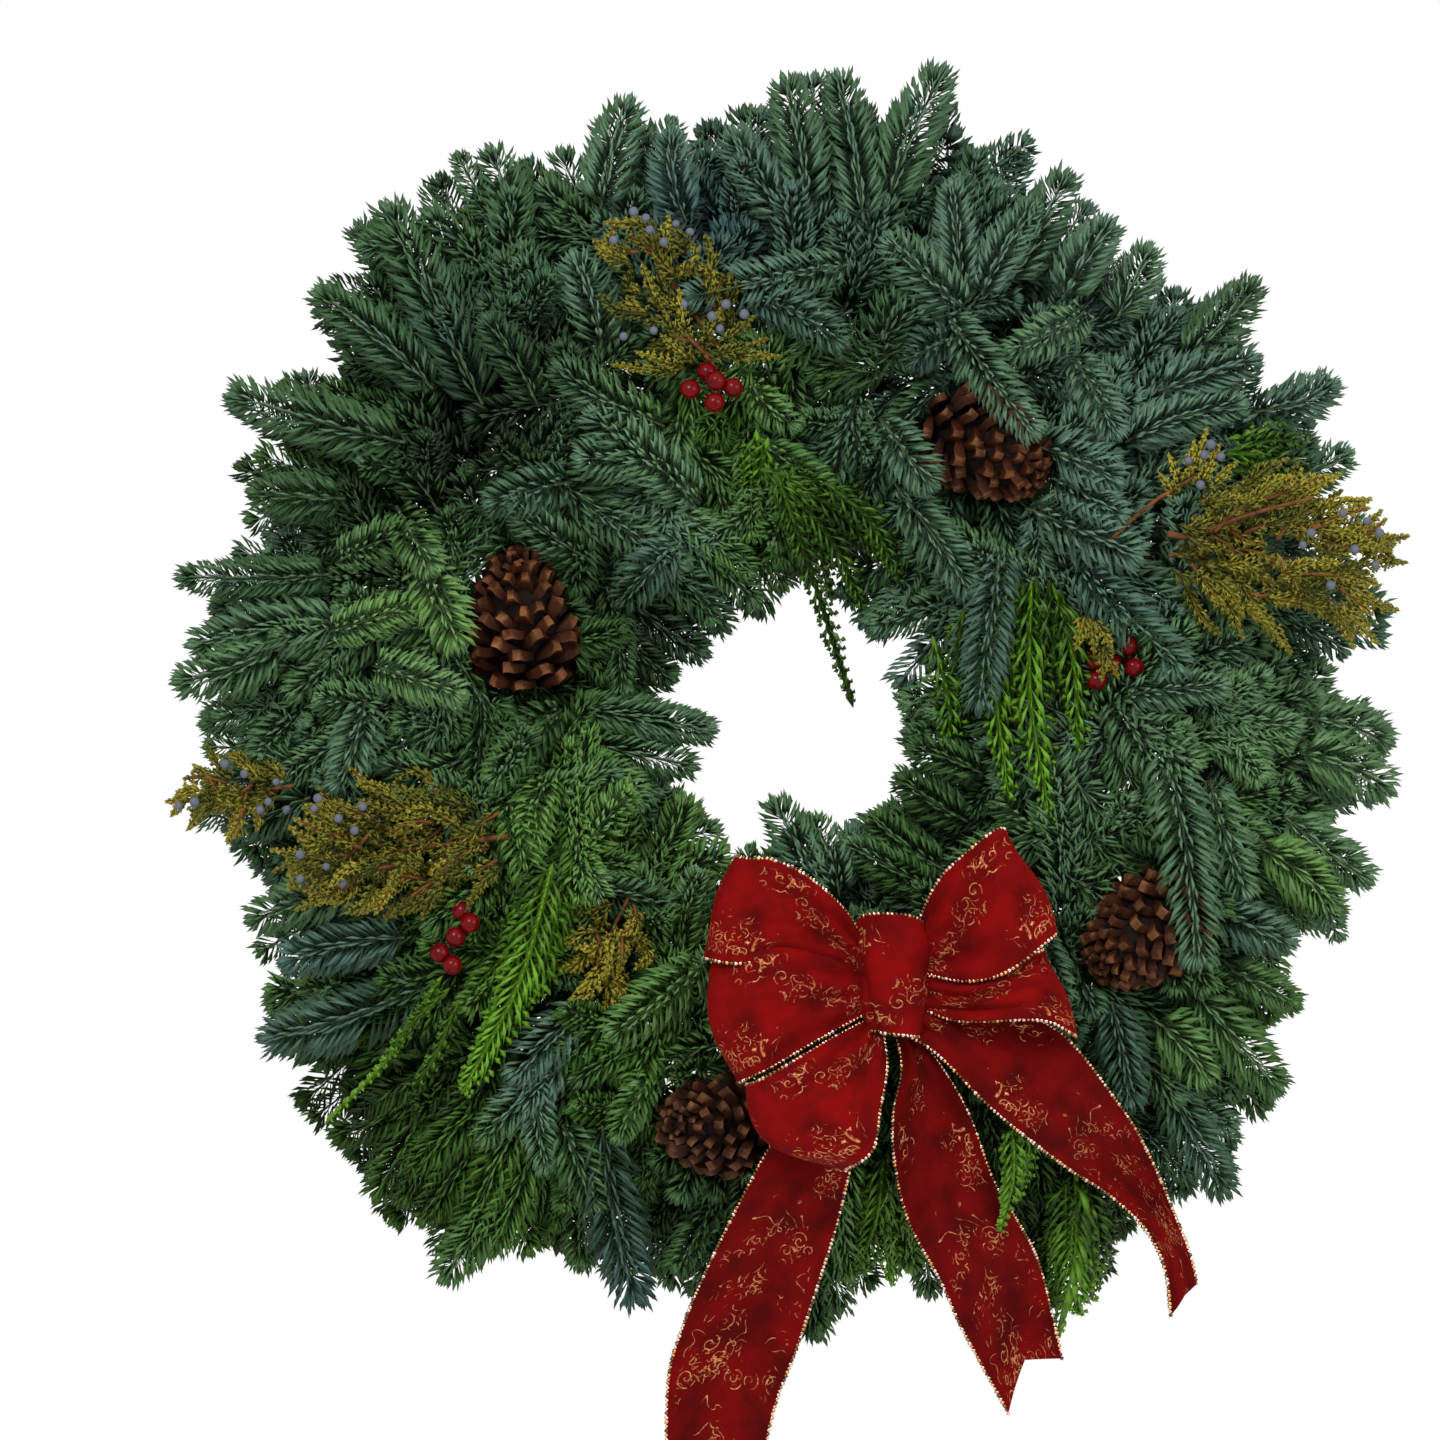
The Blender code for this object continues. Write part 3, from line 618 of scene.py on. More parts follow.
class Fir:
    """What all fir shoots share."""

    def __init__(self, sizes, cover):
        self.sizes = sizes
        self.cover = cover
        self.needle = needle_template(0.76, 0.5)
        self.tube, self.stem = tube_template(3), tube_template(6)

    def rows_of(self, reach, coarse, thin, rng):
        """Place along the shoot, turn, lean and shares of length and width of every needle."""
        rows = []
        for turn, spacing, lean, share, broad in NEEDLE_ROWS[:4] if coarse else NEEDLE_ROWS:
            count = max(3, int(reach / (spacing * (COARSE_SPACING if coarse else 1))))
            t = (np.arange(count) + rng.uniform(0.2, 0.8, count)) / count
            made = np.column_stack([t, turn + rng.normal(0, 7, count), lean + rng.normal(0, 4, count),
                                    np.full(count, share), np.full(count, broad)])
            rows.append(made[(t > thin) | (rng.uniform(0, 1, count) < 0.5)])
        tips = END_NEEDLES // 2 if coarse else END_NEEDLES
        rows.append(np.column_stack([rng.uniform(0.97, 1.0, tips), rng.uniform(-20, 200, tips),
                                     rng.uniform(10, 78, tips), np.full(tips, 0.80),
                                     np.full(tips, 1.45)]))
        return np.vstack(rows).T

    def sprig(self, heap, a, b, bow, front, rng, bloom, tone, coarse=False, over=False,
              size=1.0, thin=0.0):
        """A shoot from a to b, bowed by a vector, its upper side towards front."""
        control = (a + b) / 2 + bow
        t, turn, lean, share, broad = self.rows_of(np.linalg.norm(b - a) / size ** 0.7, coarse,
                                                   thin, rng)
        count = len(t)
        base, tangent = bezier(a, control, b, t)
        up = unit(front - (front * tangent).sum(1, keepdims=True) * tangent)
        side = np.cross(tangent, up)
        turn, ending = np.radians(turn), np.clip((t - 0.80) / 0.20, 0, 1)
        lean = np.radians(lean * (1 - 0.28 * ending ** 1.4))
        out = np.cos(turn)[:, None] * side + np.sin(turn)[:, None] * up
        lead = unit(np.cos(lean)[:, None] * tangent + np.sin(lean)[:, None] * out)
        curl = unit(0.8 * tangent + 0.5 * up)
        grown = (0.84 + 0.18 * np.sin(np.pi * np.clip(t * 1.3, 0, 1))) * (1 - 0.10 * ending)
        long = self.sizes.needle_length * size * share * grown * rng.uniform(0.9, 1.08, count)
        # Needles of the upper rows are made paler: painted light on the side of the shoot that faces the
        # lamps.
        top = np.clip(np.sin(turn), 0, 1)
        wide = self.sizes.needle_width * broad * size ** 0.5 * rng.uniform(0.85, 1.15, count)
        # Coarse shoots lie deep: their needles are painted darker as shade.
        if coarse:
            long, wide, bloom = long * COARSE_LENGTH, wide * COARSE_WIDTH, bloom - COARSE_PAINTED_SHADE
        # The patches add painted light and painted shade.
        painted_light_and_shade, more_tone = patch_light_and_tone(base)
        looks = np.column_stack([np.clip(bloom + painted_light_and_shade - 0.14 + 1.3 * top ** 0.7 * 0.35
                                         + rng.normal(0, 0.12, count), -1.2, 1.2),
                                 np.clip(tone + more_tone + rng.normal(0, 0.04, count), -1, 1)])
        keep = ~in_binding(base + lead * long[:, None] * 0.8)
        if not over:
            keep &= ~(self.cover.hides(base + lead * long[:, None] * 0.45, 0.003)
                     | self.cover.hides(base + lead * long[:, None] * 0.92, 0.002))
        grow(heap, self.needle, base[keep], lead[keep], curl[keep], long[keep], wide[keep],
             0.26, looks[keep])
        points = bezier(a, control, b, np.linspace(0, 0.98, 5))[0]
        if over or not self.cover.hides(points[1:], 0.002).any():
            tube_along(heap, self.tube, points, np.linspace(0.0010, 0.0006, 5), slot=1)

    def branch(self, heap, a, b, bow, front, rng, bloom, tone, side_shoots, coarse=False,
               thin=0.0):
        """A leading shoot with side shoots spread flat on both sides of it."""
        size = rng.uniform(0.88, 1.18)
        self.sprig(heap, a, b, bow, front, rng, bloom, tone, coarse, False, size, thin)
        reach = np.linalg.norm(b - a)
        hand = 1 if rng.uniform() < 0.5 else -1
        for k in range(side_shoots):
            share = 0.24 + 0.46 * (k + rng.uniform(0, 0.6)) / max(1, side_shoots)
            root, tangent = bezier(a, (a + b) / 2 + bow, b, [share])
            root, tangent = root[0], tangent[0]
            up = unit(front - front.dot(tangent) * tangent)
            opening = math.radians(rng.uniform(34, 50))
            way = unit(math.cos(opening) * tangent
                       + math.sin(opening) * hand * np.cross(tangent, up)
                       + rng.uniform(-0.12, 0.22) * up)
            long = max(0.020, reach * (0.62 - 0.40 * share) * rng.uniform(0.85, 1.1))
            hand = -hand
            self.sprig(heap, root, root + way * long, tangent * long * 0.10, front, rng,
                       bloom + rng.normal(0, 0.06), tone, coarse, False, size * 0.94)


# Layers of shoots in a bunch: how many, radius and depth of their bases, how far the tips stay
# inside the outline or outside the hole, depth of the tips, forward arch, fan and stray of the
# headings in degrees, side shoots, whether coarse, and the part of the shoot that is thin.
OUTWARD = (
    (4, 0.172, 0.002, 0.030, 0.008, 0.004, 14, 5, 3, True, 0.0),
    (3, 0.212, 0.012, 0.012, 0.016, 0.006, 14, 8, 1, True, 0.50),
    (5, 0.208, 0.022, 0.000, 0.022, 0.010, 14, 13, 2, False, 0.45),
    (4, 0.200, 0.044, 0.014, 0.048, 0.010, 20, 17, 2, False, 0.40),
    (4, 0.190, 0.064, 0.050, 0.070, 0.008, 26, 26, 2, False, 0.25),
    (3, 0.166, 0.078, 0.102, 0.086, 0.006, 36, 40, 1, False, 0.0),
)
INWARD = (
    (3, 0.178, 0.074, 0.044, 0.076, 0.006, 26, 30, 1, False, 0.0),
    (3, 0.178, 0.046, 0.006, 0.048, 0.010, 20, 16, 1, False, 0.25),
    (3, 0.210, 0.010, 0.014, 0.014, 0.006, 14, 8, 2, True, 0.0),
)

# How far the needles reach past the tip of a branch, and how long a branch may grow.
TIP_REACH = 0.007
LONGEST = 0.125

# Round the wreath from its right side, degrees and millimetres: how far from the middle the
# foliage ends, outside and round the hole.
OUTLINE = (
    (0, 292), (5, 262), (9, 314), (22, 314), (26, 300), (30, 322), (36, 298), (42, 320), (46, 288),
    (52, 284), (60, 303), (68, 306), (76, 328), (81, 316), (87, 326), (92, 316), (97, 299), (105, 322),
    (112, 304), (120, 322), (131, 330), (138, 322), (144, 306), (151, 324), (157, 303), (162, 268),
    (167, 320), (171, 298), (178, 318), (182, 296), (189, 312), (195, 293), (200, 284), (207, 309),
    (214, 322), (223, 322), (230, 330), (239, 336), (245, 307), (250, 307), (256, 314), (262, 302),
    (273, 324), (278, 302), (285, 296), (297, 322), (303, 306), (312, 332), (322, 324), (329, 308),
    (333, 276), (342, 318), (348, 292), (353, 318), (358, 308),
)
HOLE = (
    (0, 50), (6, 53), (30, 50), (60, 56), (88, 60), (96, 48), (108, 43), (130, 41), (150, 41), (163, 46),
    (172, 64), (182, 66), (190, 54), (206, 50), (213, 56), (222, 66), (240, 66), (256, 68), (262, 48),
    (272, 46), (281, 54), (290, 70), (300, 65), (320, 68), (340, 63), (352, 55),
)

# Round the wreath at even steps: how pale, or below zero how much darker, and how fresh, or below
# zero how blue, the foliage is. Foliage in the hole has at least the inner paleness.
PALENESS = (0.48, 0.52, 0.52, 0.48, 0.40, 0.20, -0.16, -0.30, 0.12, 0.46, 0.24, -0.24, -0.22, 0.02,
         0.02, 0.06, 0.14, 0.38)
TONE = (0.22, 0.00, -0.16, -0.16, -0.18, -0.12, -0.04, 0.04, 0.04, 0.20, -0.10, 0.70, 0.75, 0.20,
        0.14, 0.14, 0.04, 0.16)
INNER_PALENESS = 0.20

# Painted shade of deep hollows, painted light on sunlit places and fresher or bluer growth: x and z
# of the middle and radius, in millimetres, what is added to bloom there, as painted light, and below
# zero as painted shade, and what is added to tone.
PATCHES = (
    (-150, 152, 34, -0.9, -0.1), (-195, 100, 28, -0.9, -0.15), (45, 188, 22, -0.9, 0.0),
    (-100, 66, 22, -0.8, 0.1), (-80, 36, 30, -0.9, 0.1), (-52, -62, 24, -0.1, 0.0),
    (72, -50, 30, -0.4, 0.0), (-165, -190, 26, -0.8, 0.5), (-195, -238, 42, -0.9, 1.1),
    (-85, -230, 34, -0.6, 0.3), (130, -262, 42, -1.7, 1.0), (180, -172, 24, -0.3, 0.1),
    (85, 105, 20, -0.5, 0.0), (-126, -4, 26, -0.7, 0.1), (172, -70, 22, -0.6, 0.0),
    (252, -165, 30, -0.5, 0.2), (-66, 104, 28, 0.8, 0.0), (-55, 140, 34, 0.0, 0.6),
    (-100, 262, 30, 0.5, 0.1), (-38, 236, 36, 0.9, -0.9), (-120, 200, 22, 0.6, -0.1),
    (-20, 172, 18, 0.5, 0.3), (90, 212, 30, 0.35, 0.0), (175, 128, 34, 1.6, -0.1),
    (190, 70, 22, 0.5, 0.1), (170, 212, 34, 0.55, 0.1), (190, -225, 20, 0.6, 0.0),
    (150, 50, 28, 0.1, -0.3), (-190, 46, 34, 0.9, 0.5), (-246, -136, 36, 0.8, 0.1),
    (-190, -100, 22, 0.5, 0.3), (-120, -190, 26, 0.45, -0.2), (235, -30, 45, 0.4, 0.2),
    (250, -120, 34, 0.2, 0.3), (150, -45, 26, 0.35, 0.1), (-20, 165, 40, -0.1, 0.55),
    (-125, -65, 42, 0.1, 0.8), (-70, -190, 30, -0.1, 0.6), (-62, -135, 28, 0.1, 0.6),
    (225, -165, 30, 0.1, 0.4), (50, -250, 32, 0.3, 0.9), (-165, 180, 30, 0.1, -0.4),
    (-230, 20, 45, 0.16, 0.0), (-205, -172, 30, -0.45, 0.1), (-10, 95, 30, -0.3, 0.9),
    (30, -85, 22, 0.9, -0.2), (-90, -95, 20, 0.6, 0.0), (-272, 130, 22, -0.9, 0.1),
    (-268, -115, 22, -0.8, 0.1), (-225, -198, 22, -0.8, 0.3),
)

# Shoots laid on top: x and z of base and tip in millimetres, size, bloom, tone, and 1 where it
# lies over a cone or cedar, or -1 where it lies deeper, under the others or a tail of the bow; the
# deeper ones mostly have a low bloom, as painted shade. Values left out at the end of a row are 0.
SHOOTS = (
    (-153, 151, -204, 256, 1.4, 0.22, 0.05), (-178, 159, -239, 211, 1.15, 0.24, 0.05),
    (-192, 132, -284, 158, 1.3, 0.36, 0.05), (-93, 179, -107, 228, 1.15, 0.5),
    (-44, 102, -101, 149, 1.25, 0.58, -0.2), (-96, 72, -140, 104, 1.0, 0.5),
    (-94, 250, -80, 308, 1.2, 0.3), (-138, 236, -150, 284, 1.1, 0.18),
    (-148, 246, -168, 281, 0.7, 0.2, 0.1), (-182, 231, -218, 233, 1.1, 0.2, 0.1),
    (-222, 104, -272, 107, 1.1, 0.14, 0.05), (-230, 66, -309, 65, 0.95, 0.1),
    (-51, 243, -60, 291, 1.1, 0.42, -0.1), (0, 245, -30, 290, 1.1, 0.52), (10, 250, -1, 319, 1.2, 0.32),
    (38, 243, 26, 321, 1.15, 0.44, -0.1), (50, 252, 79, 324, 1.3, 0.36),
    (87, 206, 82, 264, 0.95, 0.72, -0.1), (97, 206, 125, 254, 1.0, 0.72, -0.1),
    (89, 198, 48, 235, 1.1, 0.62), (30, 221, -54, 203, 1.05, 0.66, -0.1),
    (-22, 206, 30, 180, 1.0, 0.52, -0.5), (80, 196, 124, 133, 1.05, 0.7, 0.0, 1),
    (85, 184, 58, 170, 0.9, 0.4, -0.6), (149, 198, 109, 175, 1.0, 0.58, 0.2),
    (142, 176, 165, 133, 1.0, 0.68), (-18, 161, 5, 137, 0.8, 0.6, 0.1),
    (-13, 132, 28, 102, 1.0, 0.55, 0.15), (46, 144, 73, 108, 1.1, 0.78, 0.0, 1),
    (53, 112, 95, 54, 1.1, 0.68), (119, 99, 177, 73, 1.3, 0.62, -0.1),
    (107, 80, 95, -4, 1.14, 0.62, -0.45, 1), (144, 72, 199, 15, 1.2, 0.52, -0.2),
    (188, -17, 206, -132, 1.3, 0.52, 0.0, 1), (211, -37, 229, -97, 1.1, 0.56, 0.1),
    (237, -71, 279, -102, 1.2, 0.55, 0.8), (250, -56, 295, -90, 1.15, 0.56, 0.2),
    (258, -24, 308, -42, 1.25, 0.6, 0.35), (169, 5, 221, 10, 0.9, 0.72), (273, 52, 305, 48, 1.1, 0.42),
    (236, 148, 280, 163, 1.15, 0.66, -0.2), (244, 110, 286, 128, 1.0, 0.3),
    (169, 132, 231, 153, 1.0, 0.72), (-255, 30, -310, 10, 1.2, 0.52, 0.3),
    (-225, 42, -302, 30, 1.3, 0.52, 0.05), (-182, 72, -164, 28, 1.25, 0.8, 0.6, 1),
    (-230, 37, -182, 52, 0.9, 0.7, 0.6), (-207, 20, -160, 5, 1.0, 0.72, 0.5, 1),
    (-211, 3, -225, -45, 1.1, 0.66), (-113, -2, -150, -40, 1.1, 0.42, 0.05),
    (-108, 0, -36, -13, 1.0, 0.36, 0.05), (-104, -18, -45, -31, 0.95, 0.22, 0.1),
    (-119, -32, -129, -72, 1.0, 0.52, 0.7), (-98, -27, -71, -52, 0.9, 0.6, 0.35),
    (-91, 60, -82, 5, 0.8, 0.42), (-192, -116, -256, -128, 1.2, 0.5, -0.6),
    (-180, -141, -266, -170, 1.4, 0.3, -0.5), (-180, -200, -209, -250, 1.25, 0.32, 0.7),
    (-153, -200, -193, -233, 1.1, 0.26, 0.8), (-138, -243, -176, -291, 1.15, 0.3, 0.2),
    (-113, -180, -157, -219, 1.0, 0.76), (-101, -151, -140, -188, 1.15, 0.62, -0.2),
    (-41, -128, -91, -167, 1.2, 0.5, 0.3), (-93, -210, -76, -304, 1.4, 0.46, -0.8),
    (-66, -183, -87, -218, 0.9, 0.62), (-113, -210, -96, -255, 1.1, 0.46, 0.05),
    (-126, -175, -121, -235, 0.85, 0.7, 0.05), (184, -158, 214, -189, 1.25, 0.62, 0.5),
    (162, -148, 173, -203, 1.1, 0.42, -0.5), (190, -186, 223, -249, 1.15, 0.22, -0.3),
    (206, -146, 250, -195, 1.25, 0.38, 0.05), (223, -133, 257, -150, 0.9, 0.3, 0.05),
    (209, -101, 256, -120, 1.1, 0.7, -0.4), (263, -86, 279, -119, 0.7, 0.26),
    (127, -111, 138, -149, 0.9, 0.55), (118, 132, 168, 112, 1.15, 0.6, -0.2),
    (132, 114, 170, 92, 1.05, 0.6, -0.1), (120, -206, 128, -282, 1.15, -0.1, 0.4, -1),
    (136, -204, 150, -280, 1.15, 0.0, 0.4, -1), (104, -222, 110, -296, 1.1, -0.1, 0.4, -1),
    (150, -196, 176, -256, 1.1, 0.1, 0.1, -1), (140, -232, 138, -306, 1.05, 0.0, 0.5, -1),
    (160, -206, 164, -270, 1.05, 0.05, 0.3, -1), (116, -242, 124, -312, 1.0, -0.1, 0.5, -1),
    (70, -220, 72, -300, 1.0, 0.04, 0.15, -1), (-58, 120, -108, 124, 1.15, 0.44, -0.1),
    (-50, 88, -86, 50, 1.1, 0.4, -0.4), (-108, 112, -152, 100, 1.1, 0.36, -0.2),
    (-62, 140, -118, 170, 1.1, 0.34, -0.1), (-125, 150, -152, 196, 1.0, 0.1, 0.05),
    (-196, 100, -176, 66, 1.0, 0.62, 0.5, 1), (-226, 72, -186, 88, 0.95, 0.5, 0.4),
    (-140, -46, -128, -92, 1.0, 0.2, 0.8), (-108, -52, -104, -100, 0.95, 0.24, 0.7),
    (-152, -188, -196, -252, 1.2, 0.0, 0.8), (-168, -184, -231, -219, 1.15, 0.1, 0.6),
    (-134, -204, -166, -276, 1.2, 0.0, 0.8), (-170, -200, -190, -251, 1.1, -0.1, 0.8, -1),
    (-150, -214, -176, -280, 1.15, -0.1, 0.8, -1), (-194, -190, -222, -228, 1.1, 0.0, 0.6, -1),
    (-124, -212, -128, -272, 1.15, -0.1, 0.7, -1), (-100, -222, -104, -283, 1.1, -0.1, 0.3, -1),
    (-130, -228, -150, -278, 1.1, 0.06, 0.9), (-158, -222, -186, -262, 1.1, 0.1, 1.0),
    (-176, -176, -226, -206, 1.1, 0.06, 0.6), (200, 174, 238, 215, 1.15, 0.06),
    (186, 158, 238, 176, 1.15, 0.5, -0.2), (138, 204, 164, 246, 1.15, 0.5, -0.1),
    (112, 214, 142, 270, 1.15, 0.46, -0.1), (-212, -92, -273, -108, 1.15, 0.5, 0.1),
    (12, -236, 15, -320, 1.2, -0.1, 0.3, -1), (22, -244, 26, -308, 1.1, 0.0, 0.2, -1),
    (-66, 92, -13, 51, 1.05, 0.2), (-78, 80, -28, 38, 1.1, 0.14, -0.3),
    (-88, 62, -40, 24, 1.05, 0.08, -0.3), (-54, 96, -16, 66, 0.95, 0.22, 0.2),
    (-96, 46, -56, 12, 0.95, 0.04), (-70, 66, -36, 44, 0.9, 0.0), (18, -94, -8, -46, 1.1, 0.24, 0.15),
    (26, -96, 12, -54, 0.95, -0.1, 0.3), (78, -82, 40, -55, 1.0, -0.2, 0.4),
    (90, -58, 55, -35, 1.0, -0.2, 0.3), (74, -94, 28, -68, 1.0, -0.2, 0.4),
    (98, -34, 60, -20, 0.95, 0.0, 0.2), (-12, 112, 6, 72, 1.1, 0.1, 0.0, -1),
    (262, -6, 306, -18, 1.1, 0.5, 0.2), (-20, 168, -46, 132, 1.1, -0.2, 0.2, -1),
    (-52, 168, -30, 130, 1.1, -0.2, 0.2, -1), (164, -18, 180, -56, 1.1, 0.1, 0.1, -1),
    (158, 76, 196, 54, 1.1, 0.1, 0.0, -1), (-246, -28, -294, -44, 1.1, 0.3, 0.0, -1),
    (-240, -46, -284, -62, 1.1, 0.2, 0.0, -1), (-106, -72, -90, -100, 0.7, 1.2, 0.3),
    (128, -232, 132, -292, 1.15, -0.3, 0.8, -1), (30, -226, 32, -290, 1.1, 0.1, 0.8, -1),
    (58, -228, 62, -286, 1.1, 0.1, 0.8, -1), (56, 178, 14, 158, 1.1, 0.0, 0.1, -1),
    (-10, 180, -52, 170, 1.1, 0.1, 0.1, -1), (-136, 84, -170, 52, 1.1, -0.1, 0.0, -1),
    (-172, -8, -210, -30, 1.1, 0.2, 0.0, -1), (60, 82, 26, 56, 1.0, 0.0, 0.1, -1),
    (-44, -172, -80, -196, 1.1, 0.2, 0.2, -1), (160, 66, 202, 42, 1.1, 0.2, 0.0, -1),
    (114, -140, 146, -172, 1.1, 0.1, 0.1, -1), (150, -64, 180, -108, 1.1, 0.0, 0.1, -1),
    (144, -38, 172, -70, 1.1, 0.1, 0.1, -1), (-24, -74, -48, -100, 0.95, -0.1, 0.2, -1),
    (18, -164, -16, -182, 1.0, 0.0, 0.2, -1), (142, -240, 160, -292, 1.15, -0.1, 0.4, -1),
    (150, -226, 172, -268, 1.1, 0.0, 0.3, -1), (-150, 102, -165, 46, 1.15, 0.0, 0.0, -1),
    (-168, 88, -180, 44, 1.1, 0.1, 0.0, -1), (-170, 14, -182, -28, 1.1, 0.2, 0.1, -1),
    (50, 165, 8, 171, 1.3, 0.0, 0.1, -1), (32, 198, -2, 174, 1.2, 0.0, 0.0, -1),
    (-18, 172, -58, 166, 1.2, 0.0, 0.2, -1), (-140, 96, -170, 50, 1.2, 0.0, 0.0, -1),
    (166, 196, 184, 232, 1.1, 0.2, 0.0, -1), (20, -160, -14, -180, 1.2, 0.0, 0.2, -1),
    (30, -82, -4, -96, 1.1, 0.1, 0.1, -1),
)


# How far forward of its place a shoot laid on top is moved, by that last number, and the band of
# radii where it needs no coarse shoot behind it.
SHOOT_LIFT = {0: 0.0, 1: 0.010, -1: -0.024}
CLOSED_BAND = (0.085, 0.265)


def around(values, degrees):
    """Interpolate values given at even steps round the wreath."""
    at = (degrees % 360) / 360 * len(values)
    return float(np.interp(at, range(len(values) + 1), (*values, values[0])))


def in_binding(points):
    """True where a point lies in or behind the stems that are bound to the ring."""
    radius = np.hypot(points[:, 0] - CENTRE.x, points[:, 2] - CENTRE.z)
    depth = CENTRE.y - points[:, 1]
    return (np.abs(radius - RING_R) < BUNDLE_HALF_WIDTH) & (depth < BUNDLE_FRONT)


def radius_at(rows, degrees):
    """The radius that pairs of degrees and radius give in one direction."""
    angles, radii = zip(*rows)
    return float(np.interp(degrees, angles, metres(radii), period=360))


def patch_light_and_tone(points):
    """What the patches add at places on the wreath: painted light and shade, and tone."""
    bloom, tone = np.zeros(len(points)), np.zeros(len(points))
    for *place, painted_light_and_shade, more_tone in PATCHES:
        x, z, radius = metres(place)
        away = (points[:, 0] - CENTRE.x - x) ** 2 + (points[:, 2] - CENTRE.z - z) ** 2
        share = np.exp(-away / radius ** 2)
        bloom, tone = bloom + share * painted_light_and_shade, tone + share * more_tone
    return bloom, tone


def crown_depth(radius):
    """How far forward the topmost shoots lie at a radius."""
    return float(np.interp(radius, (0.05, 0.09, 0.14, 0.20, 0.25, 0.30, 0.33),
                           (0.052, 0.080, 0.098, 0.104, 0.090, 0.060, 0.040)))


def reach_to(start, way, radius):
    """How far from start along way a circle of that radius round the ring's middle is met."""
    along = start[0] * way[0] + start[1] * way[1]
    inside = along * along + radius * radius - start[0] ** 2 - start[1] ** 2
    if inside <= 0:
        return -along
    return -along + math.sqrt(inside) * (1 if start[0] ** 2 + start[1] ** 2 < radius ** 2 else -1)


def layer_shoot(fir, heap, rng, outwards, start, share, row):
    """One branch of a layer, from its foot on the ring to the outline or the hole."""
    r0, d0, short, d1, arch, fan, stray, shoots, coarse, thin = row
    heading = start + math.radians(share * fan + rng.normal(0, stray))
    radius = r0 + rng.uniform(-0.014, 0.014)
    root = (radius * math.cos(start), radius * math.sin(start))
    way = (math.cos(heading), math.sin(heading))
    rows, extra = OUTLINE, rng.uniform(-0.010, 0.001) - short - TIP_REACH
    if not outwards:
        way = (-way[0], -way[1])
        rows, extra = HOLE, rng.uniform(0.001, 0.008) + short
    tip = root
    for _ in range(3):
        edge = radius_at(rows, math.degrees(math.atan2(tip[1], tip[0]))) + extra
        long = min(reach_to(root, way, edge), LONGEST)
        tip = (root[0] + way[0] * long, root[1] + way[1] * long)
    a = flat(*root, d0 + rng.uniform(-0.006, 0.006))
    b = flat(*tip, d1 + rng.uniform(-0.008, 0.008))
    front = unit(np.array([0.25 * way[0], -1.0, 0.25 * way[1]]) + rng.normal(0, 0.22, 3))
    bow = np.array([0, -arch, 0]) + rng.normal(0, 0.0045, 3)
    degrees = math.degrees(start)
    bloom = around(PALENESS, degrees)
    if not outwards:
        bloom = max(bloom, INNER_PALENESS)
    fir.branch(heap, a, b, bow, front, rng, bloom + rng.normal(0, 0.20),
               around(TONE, degrees) + rng.normal(0, 0.16), shoots, coarse, thin)


def top_shoot(fir, heap, rng, x0, z0, x1, z1, size, bloom, tone=0.0, over=0):
    """One shoot laid on top of the foliage."""
    low, high = math.hypot(x0, z0), math.hypot(x1, z1)
    lift = SHOOT_LIFT[over]
    a = flat(x0, z0, crown_depth(low) - 0.010)
    b = flat(x1, z1, crown_depth(high) + 0.002 + lift)
    b = a + (b - a) * (1 - 0.008 * size / np.linalg.norm(b - a))
    front = unit(np.array([0, -1.0, 0]) + rng.normal(0, 0.10, 3))
    bow = np.array([0, -0.010 - lift * 0.5, 0]) + rng.normal(0, 0.003, 3)
    fir.sprig(heap, a, b, bow, front, rng, bloom, tone, over=over > 0, size=size)
    if not CLOSED_BAND[0] < high < CLOSED_BAND[1]:
        back = np.array([0, 0.005, 0])
        fir.sprig(heap, a + back, b - (b - a) * 0.04 + back, bow, front, rng, bloom, tone,
                  coarse=True, size=size * 0.8)


def bound_stems(fir, heap, rng, middle):
    """The cut stems of a bunch, lying along the ring under the binding wire."""
    for k in range(STEMS):
        around_ring = 2 * math.pi * (k + rng.uniform(-0.2, 0.2)) / STEMS
        out, fore = STEM_LAY * math.cos(around_ring), STEM_LAY * math.sin(around_ring)
        first, last = middle - rng.uniform(8, 15), middle + rng.uniform(8, 13)
        points = [polar(RING_R + out + rng.normal(0, 0.0004), first + (last - first) * i / 4,
                        STEM_DEPTH + fore) for i in range(5)]
        tube_along(heap, fir.stem, points, rng.uniform(0.0018, 0.0023), slot=2)


def fill_between(fir, heap, rng, middle):
    """Loose inner twigs that close the view through a bunch, coarse and so painted darker as shade."""
    for k in range(FILLERS):
        degrees = middle + rng.uniform(-0.5, 0.5) * STEP
        radius = FILLER_FROM + FILLER_BAND * (k + rng.uniform(0.2, 0.8)) / FILLERS
        heading = rng.uniform(0, 2 * math.pi)
        centre = polar(radius, degrees, rng.uniform(0.012, 0.052))
        way = np.array([math.cos(heading), rng.normal(0, 0.15), math.sin(heading)])
        half = way * FILLER_HALF
        front = unit(np.array([0, -1.0, 0]) + rng.normal(0, 0.3, 3))
        fir.sprig(heap, centre - half, centre + half, rng.normal(0, 0.004, 3), front, rng,
                  around(PALENESS, degrees) + rng.normal(0, 0.08), around(TONE, degrees), True,
                  size=1.15)


